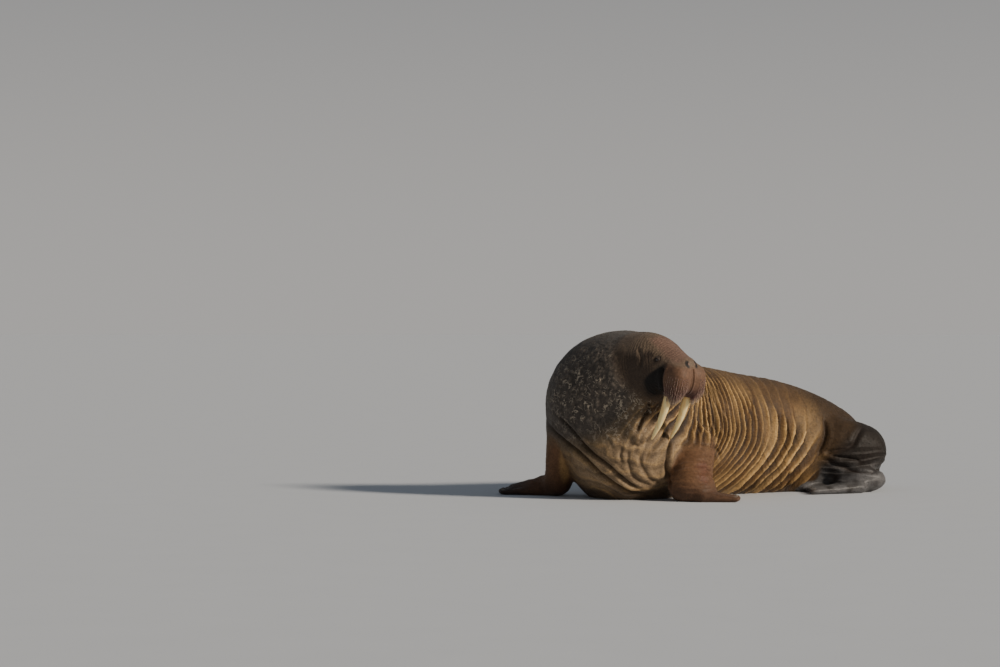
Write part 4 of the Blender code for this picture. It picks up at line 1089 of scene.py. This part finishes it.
def simple_material(name, attribute, rough, scale, low, high, spec=0.5):
    """A material whose stored colour is varied by noise, with a fine bump."""
    material, tree, shader = node_material(name)
    n = Nodes(tree)
    colour = n.add("ShaderNodeAttribute", (("attribute_name", attribute),)).outputs["Color"]
    place = n.add("ShaderNodeTexCoord").outputs["Object"]
    grain = n.noise(scale, 4.0, place)
    times = n.add("ShaderNodeVectorMath", (("operation", "SCALE"),), ((0, colour), ("Scale", n.span(grain, 0.3, 0.7, low, high))))
    tree.links.new(times.outputs["Vector"], shader.inputs["Base Color"])
    tree.links.new(n.bump(grain, 0.3, 0.001), shader.inputs["Normal"])
    shader.inputs["Roughness"].default_value = rough
    shader.inputs["Specular IOR Level"].default_value = spec
    return material


def finish_piece(obj, slot, material, *nodes):
    obj.data.materials.clear()
    obj.data.materials.append(material)
    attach(obj, "root")
    if nodes:
        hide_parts(*nodes)


# Skin

FLESH = ("head", "chin", "whisker_pad_left", "whisker_pad_right", "neck", "chest", "torso", "hindquarters",
         "tail", "foreflipper_left", "foreflipper_right", "hind_flipper_left", "hind_flipper_right")


def point_normals(obj):
    normal = np.empty(len(obj.data.vertices) * 3, np.float32)
    obj.data.vertex_normals.foreach_get("vector", normal)
    return normal.reshape(-1, 3).astype(float)


def tuck_in(points):
    """Drops skin that would lie over an eyeball to just inside it."""
    for side in (-1, 1):
        off = points - EYE_CENTRES[side]
        far = np.linalg.norm(off, axis=1)
        over = (far < EYE_RADIUS + 0.0015) & (walrus_field(points) + COAT_DEPTH > -0.0002) | (far < EYE_RADIUS - 0.0004)
        points[over] = EYE_CENTRES[side] + off[over] * (EYE_RADIUS * 0.8 / np.maximum(far[over], 1e-6))[:, None]
    return points


def make_skin(material):
    points, quads = surface_net(lambda p: walrus_field(p) + COAT_DEPTH, (-1.5, -0.45, -0.06), (1.75, 2.1, 1.2), SKIN_CELL)
    others = []
    points, quads, others = refine(points, quads, others, np.ones(len(quads), bool))
    points = settle(skin_field, points, 0.004)
    face, hands = head_point(0.04, 0, -0.12), []
    for hand in HANDS:
        root, tip, _, _ = digit_line(hand, 2)
        hands.append(((root + tip) / 2, hand[2] * 0.80))
    middles = points[quads].mean(1)
    station, _, _, size = along_spine(middles)
    chosen = band(station, 0.80, 1.55, 0.01) * (middles[:, 2] < size[:, 1] * 0.86) * (middles[:, 2] > 0.02) > 0.5
    for centre, reach in [(face, 0.33)] + hands:
        chosen |= np.linalg.norm(middles - centre, axis=1) < reach
    points, quads, others = refine(points, quads, others, chosen)
    near_face = np.linalg.norm(points - face, axis=1) < 0.33
    points[near_face] = settle(skin_field, points[near_face], 0.003)
    for places, rounds in (([(head_point(0.16, 0, -0.10), 0.17)] + [(EYE_CENTRES[side], 0.07) for side in (-1, 1)], 2),
                           ([(EYE_CENTRES[side], 0.032) for side in (-1, 1)] + [(NOSTRILS[side][3], 0.020) for side in (-1, 1)], 1)):
        count = len(points)
        middles = points[quads].mean(1)
        chosen = np.zeros(len(quads), bool)
        for centre, reach in places:
            chosen |= np.linalg.norm(middles - centre, axis=1) < reach
        points, quads, others = refine(points, quads, others, chosen)
        fresh = np.arange(len(points)) >= count
        fresh |= np.linalg.norm(points - face, axis=1) < 0.28
        for _ in range(rounds):
            points[fresh] = settle(skin_field, points[fresh], 0.002)
    plain = mesh_object("plain", points, quads.tolist(), others)
    normal = point_normals(plain)
    old = plain.data
    bpy.data.objects.remove(plain)
    bpy.data.meshes.remove(old)
    hide = Hide(points)
    height, tone = relief(hide)
    moved = points + normal * height[:, None]
    near_eye = np.flatnonzero(hide.eye_far < 0.03)
    moved[near_eye] = tuck_in(moved[near_eye])
    moved[:, 2] = np.maximum(moved[:, 2], 0.0006)
    obj = mesh_object("skin", moved, quads.tolist(), others)
    colours, marked = paint(hide, tone), marks(hide, tone)
    lying = np.stack([-hide.station, hide.angle * 0.45, np.zeros(len(points))], 1)
    set_values(obj, "Hide", colours)
    set_values(obj, "Marks", marked)
    set_values(obj, "Lie", lying)
    finish_piece(obj, "body_hide", material, *FLESH)
    return {"obj": obj, "points": moved, "quads": quads, "hide": hide, "colours": colours, "marks": marked, "lying": lying}


# Coat: short flat tufts, each a thin closed spine

def regions(hide):
    """Parts of the coat: name, slot, points, and where each point lies on an unwrap of that part, from 0 to 1."""
    p, (f, l, h) = hide.p, hide.local.T
    left = np.ones(len(p), bool)
    out = []
    turn = np.arctan2(l, h + 0.10) / (2 * math.pi) + 0.5
    head = hide.head > 0.6
    out.append(("head", "head_hide", head, (f + 0.40) / 0.70, turn))
    left &= ~head
    names = (("fore_left", "flipper_hide", 2), ("fore_right", "flipper_hide", 3),
             ("hind_left", "hind_flipper_hide", 4), ("hind_right", "hind_flipper_hide", 5))
    for (name, slot, index), hand in zip(names, HANDS):
        near = left & (in_chunks(lambda q: form_distance(q, index), p) < 0.02)
        root, tip, _, _ = digit_line(hand, 2)
        ahead = unit(tip - root)
        side = np.cross((0, 0, 1), ahead)
        off = p - root
        turn = np.arctan2(off @ side, off[:, 2] - 0.02) / (2 * math.pi) + 0.5
        out.append((name, slot, near, (off @ ahead - off[:, 2] + 0.55) / 1.2, turn))
        left &= ~near
    turn = hide.angle / (2 * math.pi) + 0.5
    length = hide.station / 2.9 + 0.08
    cuts = (-1, 0.55, 1.0, 1.45, 1.95, 9)
    for i, (low, high) in enumerate(zip(cuts[:-1], cuts[1:])):
        part = left & (hide.station >= low) & (hide.station < high)
        out.append((f"body_{i + 1}", "neck_hide" if i > 2 else "body_hide", part, length, turn))
    return out


def make_coat(skin, material):
    rng = np.random.default_rng(29)
    points, quads, hide = skin["points"], skin["quads"], skin["hide"]
    normal = point_normals(skin["obj"])
    way = lie(hide)
    foot = np.zeros(len(points))
    for hand in HANDS:
        root, tip, _, _ = digit_line(hand, 2)
        foot = np.maximum(foot, 1 - ramp(taper(points, root, tip, 0.08, 0.14), 0.0, 0.08))
    small = np.clip(np.maximum(foot, hide.head), 0, 1)
    length = TUFT_LONG + (TUFT_SHORT - TUFT_LONG) * small
    bare = (hide.eye_far < EYE_RADIUS + 0.006) | (points[:, 2] < 0.006)
    pads = hide.head * ramp(hide.local[:, 0], 0.10, 0.16)
    for side in (-1, 1):
        for point in NOSTRILS[side]:
            bare |= np.linalg.norm(points - point, axis=1) < 0.014
    weight = np.where(bare, 0, 1) * (1 + 1.6 * small) * (1 - 0.7 * pads) * (0.75 + 0.35 * noise(points, 0.14, 95))
    corners = points[quads]
    area = 0.5 * np.linalg.norm(np.cross(corners[:, 2] - corners[:, 0], corners[:, 3] - corners[:, 1]), axis=1)
    total = np.cumsum(area * np.where(bare[quads].any(1), 0, weight[quads].mean(1)))
    face = np.searchsorted(total, np.sort(rng.uniform(0, total[-1], TUFTS)))
    face = np.minimum(face, len(quads) - 1)
    a, b = rng.uniform(0, 1, TUFTS), rng.uniform(0, 1, TUFTS)
    shares = np.stack([(1 - a) * (1 - b), a * (1 - b), a * b, (1 - a) * b], 1)
    spin, tint, size = rng.normal(0, 0.22, TUFTS), rng.normal(1, 0.12, TUFTS), rng.uniform(0.75, 1.25, TUFTS)

    def at(values):
        return (values[quads[face]] * (shares[:, :, None] if values.ndim > 1 else shares)).sum(1)

    root, up = at(points), at(normal)
    up /= np.maximum(np.linalg.norm(up, axis=1), 1e-9)[:, None]
    ahead = at(way)
    ahead -= up * (ahead * up).sum(1)[:, None]
    ahead /= np.maximum(np.linalg.norm(ahead, axis=1), 1e-6)[:, None]
    side = np.cross(up, ahead)
    ahead = ahead * np.cos(spin)[:, None] + side * np.sin(spin)[:, None]
    side = np.cross(up, ahead)
    long = (at(length) * size)[:, None]
    wide = long * TUFT_WIDE
    lift = TUFT_LIFT
    tufts = np.stack([
        root + side * wide / 2 - up * 0.0007,
        root - side * wide / 2 - up * 0.0007,
        root + ahead * long * 0.18 + up * wide * 0.30,
        root + ahead * long * math.cos(lift) + up * long * math.sin(lift),
    ], 1)
    tufts[:, :, 2] = np.maximum(tufts[:, :, 2], 0.0004)
    colours = np.clip(at(skin["colours"]) * tint[:, None], 0.002, 1)
    marked, lying = at(skin["marks"]), at(skin["lying"])
    shape = np.array([0, 2, 3, 1, 3, 2, 0, 1, 2, 0, 3, 1])
    patch = np.array([(-0.0014, -0.001), (0.0014, -0.001), (0.0, 0.0), (0.0, 0.0014)])
    for name, slot, part, across, up_map in regions(hide):
        chosen = np.flatnonzero(part[quads[face, 0]])
        count = len(chosen)
        if count == 0:
            continue
        mesh = bpy.data.meshes.new("coat_" + name)
        mesh.vertices.add(count * 4)
        mesh.vertices.foreach_set("co", (tufts[chosen] - PART_ORIGIN).ravel())
        mesh.loops.add(count * 12)
        index = (np.arange(count)[:, None] * 4 + shape).ravel()
        mesh.loops.foreach_set("vertex_index", index.astype(np.int32))
        mesh.polygons.add(count * 4)
        mesh.polygons.foreach_set("loop_start", np.arange(0, count * 12, 3, dtype=np.int32))
        mesh.update(calc_edges=True)
        mesh.validate()
        mesh.shade_smooth()
        start = np.stack([across[quads[face[chosen], 0]], up_map[quads[face[chosen], 0]]], 1)
        start = np.clip(start, 0.004, 0.996)
        places = (start[:, None] + patch).reshape(-1, 2)[index]
        layer = mesh.uv_layers.new(name="OFBake")
        layer.data.foreach_set("uv", places.astype(np.float32).ravel())
        obj = bpy.data.objects.new("coat_" + name, mesh)
        bpy.context.scene.collection.objects.link(obj)
        for key, values in (("Hide", colours), ("Marks", marked), ("Lie", lying)):
            set_values(obj, key, np.repeat(values[chosen], 4, axis=0))
        finish_piece(obj, slot, material)


# Lids, whiskers, claws, tusks and eyes

def ring_solid(rings):
    """Points and faces of a closed form through rings of equal count."""
    verts, faces = [], []
    sides = len(rings[0])
    for i, ring in enumerate(rings):
        verts.extend(ring)
        if i + 1 < len(rings):
            for k in range(sides):
                n = (k + 1) % sides
                faces.append((i * sides + k, (i + 1) * sides + k, (i + 1) * sides + n, i * sides + n))
    faces.append(tuple(range(sides)))
    faces.append(tuple((len(rings) - 1) * sides + k for k in reversed(range(sides))))
    return verts, faces


def tube_rings(points, radii, sides, slim=1.0, slim_axis=(0, 0, 1)):
    """Rings round a path."""
    points = [np.array(p, float) for p in points]
    rings = []
    for i, (point, radius) in enumerate(zip(points, radii)):
        ahead = unit(points[min(i + 1, len(points) - 1)] - points[max(i - 1, 0)])
        axis = unit(slim_axis)
        flat = axis - ahead * (axis @ ahead)
        if np.linalg.norm(flat) < 1e-3:
            flat = np.cross(ahead, (1.0, 0.0, 0.0))
        flat = unit(flat)
        across = np.cross(ahead, flat)
        turns = 2 * math.pi * np.arange(sides) / sides
        rings.append([point + radius * (slim * math.cos(a) * flat + math.sin(a) * across) for a in turns])
    return rings


def make_lids(material):
    """Upper and lower lids: a rolled edge on the eyeball, and a fold that dives into the skin."""
    for eye, side in (("left", 1), ("right", -1)):
        axes, centre = eye_axes(side), EYE_CENTRES[side]
        level = EYE_SINK - COAT_DEPTH
        for name, above, gap, width in (("upper", 1, 0.0088, 0.0150), ("lower", -1, 0.0066, 0.0125)):
            rings = []
            for t in np.linspace(-1, 1, 33):
                arch = 1 - t * t
                ring = []
                for s, layer in [(s, 1) for s in np.linspace(0, 1, 9)] + [(s, 0) for s in np.linspace(1, 0, 7)[:-1]]:
                    x = EYE_OPEN * 1.12 * t * (1 + 0.42 * s)
                    y = above * (gap * arch - 0.0012 * (1 - arch) + width * s * (0.35 + 0.65 * arch))
                    off = math.hypot(x, y)
                    thick = 0.0008 + 0.0020 * math.sin(math.pi * min(1.0, s * 1.6 + 0.12)) * (0.5 + 0.5 * arch)
                    ball = math.sqrt(max((EYE_RADIUS + (thick if layer else 0.0004)) ** 2 - off * off, 0.0))
                    sink = float(ramp(np.array([off]), EYE_RADIUS * 0.72, EYE_RADIUS * 1.22)[0])
                    z = ball * (1 - sink) + (level - (0.0025 if layer else 0.0055)) * sink
                    fold = 0.0007 * math.sin(s * 15 + 1.2) * ramp(np.array([s]), 0.2, 0.5)[0] * layer * arch
                    ring.append(centre + np.array([x, y, z + fold]) @ axes)
                rings.append(ring if (above > 0) == (side > 0) else ring[::-1])
            verts, faces = ring_solid(rings)
            obj = mesh_object(f"lid_{name}_{eye}", verts, faces)
            shade = np.tile(np.array(PALETTE["lid"]), (len(verts), 1))
            set_values(obj, "Hide", shade)
            set_values(obj, "Marks", np.zeros((len(verts), 3)))
            set_values(obj, "Lie", np.zeros((len(verts), 3)))
            recalc(obj)
            finish_piece(obj, "head_hide", material)


def recalc(obj):
    """Turns every face outwards."""
    bm = bmesh.new()
    bm.from_mesh(obj.data)
    bmesh.ops.recalc_face_normals(bm, faces=bm.faces)
    bm.to_mesh(obj.data)
    bm.free()


def skin_points(starts, directions, reach=0.25):
    """skin_point for many lines at once."""
    low, high = np.zeros(len(starts)), np.full(len(starts), reach)
    for _ in range(20):
        middle = (low + high) / 2
        inside = walrus_field(starts + directions * middle[:, None]) < 0
        low, high = np.where(inside, middle, low), np.where(inside, high, middle)
    return starts + directions * low[:, None]


def make_whiskers():
    """Stiff bristles in rows on each pad, short above and long at the lower outer corner, that hang down."""
    rng = np.random.default_rng(41)
    verts, faces, shades = [], [], []
    for side in (-1, 1):
        centre = head_point(PAD_CENTRE[0], side * PAD_CENTRE[1], PAD_CENTRE[2])
        rays, lows = [], []
        for row in range(WHISKER_ROWS):
            tilt = math.radians(14 - 84 * row / (WHISKER_ROWS - 1))
            for turn in np.arange(-12, 98, WHISKER_TURN) + (row % 2) * 1.8:
                turn = math.radians(turn + rng.normal(0, 0.8))
                lean = tilt + rng.normal(0, 0.02)
                rays.append((math.cos(lean) * math.cos(turn), side * math.cos(lean) * math.sin(turn), math.sin(lean)))
                lows.append((row / (WHISKER_ROWS - 1), math.sin(max(0.0, turn))))
        rays = np.array(rays) * PAD_SIZE
        ways = rays / np.linalg.norm(rays, axis=1)[:, None]
        roots = skin_points(np.tile(centre, (len(rays), 1)), ways @ HEAD_AXES)
        normals = rays / np.array(PAD_SIZE) ** 2
        normals = normals / np.linalg.norm(normals, axis=1)[:, None] @ HEAD_AXES
        local = (roots - np.array(BROW)) @ HEAD_AXES.T
        for root, normal, (low, outer), place in zip(roots, normals, lows, local):
            if place[1] * side < 0.012 or place[2] > 0.0:
                continue
            long = WHISKER_SHORT + (WHISKER_LONG - WHISKER_SHORT) * min(1.0, 0.65 * low ** 1.3 + 0.55 * outer * low)
            long *= rng.uniform(0.8, 1.15)
            down = unit(np.array([0.10, side * 0.06, -1.0]) @ HEAD_AXES * 0.5 + np.array([0, 0, -0.8])
                        + 0.06 * rng.normal(size=3))
            point = root - normal * (COAT_DEPTH + 0.003)
            path, radii = [point], [WHISKER_RADIUS]
            steps = 6
            for i in range(steps):
                t = (i + 0.5) / steps
                bend = min(1.0, 0.40 + 1.2 * t)
                point = point + unit(normal * (1 - bend) * 0.8 + down * bend) * long / steps
                path.append(point)
                radii.append(WHISKER_RADIUS * (1 - 0.80 * ((i + 1) / steps) ** 1.3))
            rings = tube_rings(path, radii, 5)
            v, f = ring_solid(rings)
            start = len(verts)
            verts.extend(v)
            faces.extend(tuple(start + k for k in face) for face in f)
            for i in range(steps + 1):
                t = i / steps
                shade = np.array(PALETTE["whisker"]) * (1 - t ** 2) + np.array(PALETTE["whisker_tip"]) * t ** 2
                shades.extend([shade * rng.uniform(0.8, 1.2)] * 5)
    obj = mesh_object("whiskers", verts, faces)
    set_values(obj, "Hide", np.clip(np.array(shades), 0, 1))
    recalc(obj)
    finish_piece(obj, "muzzle_hide", simple_material("horny whisker", "Hide", 0.38, 300.0, 0.85, 1.15))


def make_claws():
    """A small blunt claw on top of each digit, just short of its tip."""
    verts, faces, shades = [], [], []
    for hand in HANDS:
        for i in range(len(hand[5])):
            root, tip, _, tip_radius = digit_line(hand, i)
            ahead = unit(tip - root)
            top = tip + np.array([0, 0, tip_radius * hand[8] * 0.62])
            path, radii = [], []
            for t in np.linspace(0, 1, 8):
                path.append(top + ahead * (CLAW_LENGTH * (1.6 * t - 1.0)) + np.array([0, 0, CLAW_RADIUS * (1.1 * math.sin(math.pi * min(1, t * 1.1)) - 0.4)]))
                radii.append(CLAW_RADIUS * (1.05 - 0.85 * t ** 2.2))
            v, f = ring_solid(tube_rings(path, radii, 10, 0.75))
            start = len(verts)
            verts.extend(v)
            faces.extend(tuple(start + k for k in face) for face in f)
            for t in np.linspace(0, 1, 8):
                shades.extend([np.array(PALETTE["claw"]) * (0.6 + 0.5 * t)] * 10)
    obj = mesh_object("claws", verts, faces)
    set_values(obj, "Hide", np.array(shades))
    recalc(obj)
    finish_piece(obj, "hind_flipper_hide", simple_material("horny claw", "Hide", 0.42, 160.0, 0.8, 1.2))


def ivory_material():
    """Old ivory with a lengthwise grain."""
    material, tree, shader = node_material("tusk ivory")
    n = Nodes(tree)
    place = n.add("ShaderNodeTexCoord").outputs["Object"]
    squash = n.add("ShaderNodeMapping", (("Scale", (60.0, 60.0, 5.0)),), (("Vector", place),)).outputs["Vector"]
    streak = n.noise(1.0, 6.0, squash)
    colours = n.add("ShaderNodeValToRGB", (), (("Fac", streak),))
    colours.color_ramp.elements[0].position = 0.34
    colours.color_ramp.elements[0].color = (1.00, 0.64, 0.24, 1)
    colours.color_ramp.elements[1].position = 0.56
    colours.color_ramp.elements[1].color = (1.00, 0.80, 0.38, 1)
    tree.links.new(colours.outputs["Color"], shader.inputs["Base Color"])
    tree.links.new(n.bump(streak, 0.25, 0.001), shader.inputs["Normal"])
    shader.inputs["Roughness"].default_value = 0.30
    return material


def make_tusks():
    material = ivory_material()
    for name, side in (("tusk_left", 1), ("tusk_right", -1)):
        points, radii = tusk_line(side, 36)
        radii = [r * (1 + 0.012 * math.sin(9.0 * i / 7)) for i, r in enumerate(radii)]
        end = unit(points[-1] - points[-2])
        for share, reach in ((0.80, 0.35), (0.45, 0.65), (0.12, 0.8)):
            points.append(points[36] + end * TUSK_TIP_RADIUS * reach)
            radii.append(TUSK_TIP_RADIUS * share)
        verts, faces = ring_solid(tube_rings(points, radii, 28, TUSK_SLIM, HEAD_AXES[1]))
        obj = mesh_object("ivory_" + name, verts, faces)
        finish_piece(obj, "ivory", material, name)


def eye_material():
    material, tree, shader = node_material("dark eye")
    n = Nodes(tree)
    place = n.add("ShaderNodeTexCoord").outputs["Object"]
    colours = n.add("ShaderNodeValToRGB", (), (("Fac", n.noise(220.0, 2.0, place)),))
    colours.color_ramp.elements[0].color = (0.004, 0.003, 0.003, 1)
    colours.color_ramp.elements[1].color = (0.020, 0.010, 0.006, 1)
    tree.links.new(colours.outputs["Color"], shader.inputs["Base Color"])
    shader.inputs["Roughness"].default_value = 0.12
    shader.inputs["Coat Weight"].default_value = 0.4
    shader.inputs["Coat Roughness"].default_value = 0.02
    return material


def make_eyes():
    material = eye_material()
    for name, side in (("eye_left", 1), ("eye_right", -1)):
        axes = eye_axes(side)
        rings = []
        for polar in np.linspace(0.02, math.pi - 0.02, 25):
            bulge = 1 + 0.05 * max(0.0, math.cos(polar)) ** 6
            ring = []
            for turn in 2 * math.pi * np.arange(36) / 36:
                ray = np.array([math.sin(polar) * math.cos(turn), math.sin(polar) * math.sin(turn), math.cos(polar)])
                ring.append(EYE_CENTRES[side] + ray @ axes * EYE_RADIUS * bulge)
            rings.append(ring)
        obj = mesh_object("ball_" + name, *ring_solid(rings))
        recalc(obj)
        finish_piece(obj, "eye", material, name)


# Floor, backdrop, light and camera

def staged(name, verts, faces, material):
    mesh = bpy.data.meshes.new(name)
    mesh.from_pydata(verts, [], faces)
    obj = bpy.data.objects.new(name, mesh)
    obj.data.materials.append(material)
    bpy.context.scene.collection.objects.link(obj)


def make_floor():
    material, tree, shader = node_material("pale floor")
    n = Nodes(tree)
    place = n.add("ShaderNodeTexCoord").outputs["Object"]
    colours = n.add("ShaderNodeValToRGB", (), (("Fac", n.noise(3.0, 2.0, place)),))
    colours.color_ramp.elements[0].color = (0.640, 0.665, 0.705, 1)
    colours.color_ramp.elements[1].color = (0.665, 0.690, 0.730, 1)
    tree.links.new(colours.outputs["Color"], shader.inputs["Base Color"])
    shader.inputs["Roughness"].default_value = 0.9
    shader.inputs["Specular IOR Level"].default_value = 0.1
    size = FLOOR_REACH
    staged("floor", [(-size, -size, 0), (size, -size, 0), (size, size, 0), (-size, size, 0)], [(0, 1, 2, 3)], material)


def make_light():
    data = bpy.data.lights.new("key", "SUN")
    data.energy = KEY_POWER
    data.angle = math.radians(KEY_ANGLE)
    data.color = (1.0, 0.90, 0.76)
    lamp = bpy.data.objects.new("key", data)
    lamp.rotation_euler = (-Vector(KEY_FROM)).to_track_quat("-Z", "Y").to_euler()
    bpy.context.scene.collection.objects.link(lamp)
    world = bpy.data.worlds.new("studio")
    world.use_nodes = True
    n = Nodes(world.node_tree)
    way = n.add("ShaderNodeTexCoord").outputs["Generated"]
    high = n.add("ShaderNodeSeparateXYZ", (), (("Vector", way),)).outputs["Z"]
    colours = n.add("ShaderNodeValToRGB", (), (("Fac", n.span(high, 0.0, GLOW_TOP)),))
    colours.color_ramp.interpolation = "EASE"
    colours.color_ramp.elements[0].color = (*GLOW_LOW, 1)
    colours.color_ramp.elements[1].color = (*GLOW_HIGH, 1)
    world.node_tree.links.new(colours.outputs["Color"], world.node_tree.nodes["Background"].inputs["Color"])
    bpy.context.scene.world = world


def make_camera():
    data = bpy.data.cameras.new("camera")
    data.lens = CAMERA_LENS
    data.sensor_width = 36.0
    data.clip_end = 2 * FLOOR_REACH
    camera = bpy.data.objects.new("camera", data)
    camera.location = np.array(CAMERA_PLACE) - PART_ORIGIN
    camera.rotation_euler = (math.pi / 2, 0, 0)
    bpy.context.scene.collection.objects.link(camera)
    bpy.context.scene.camera = camera


make_camera()
make_light()
make_floor()
HIDE_MATERIAL = hide_material("walrus hide", 0.60, 0.35, 0.08)
SKIN = make_skin(HIDE_MATERIAL)
make_coat(SKIN, hide_material("walrus coat", 0.72, 0.15, 0.05))
make_lids(HIDE_MATERIAL)
make_whiskers()
make_claws()
make_tusks()
make_eyes()
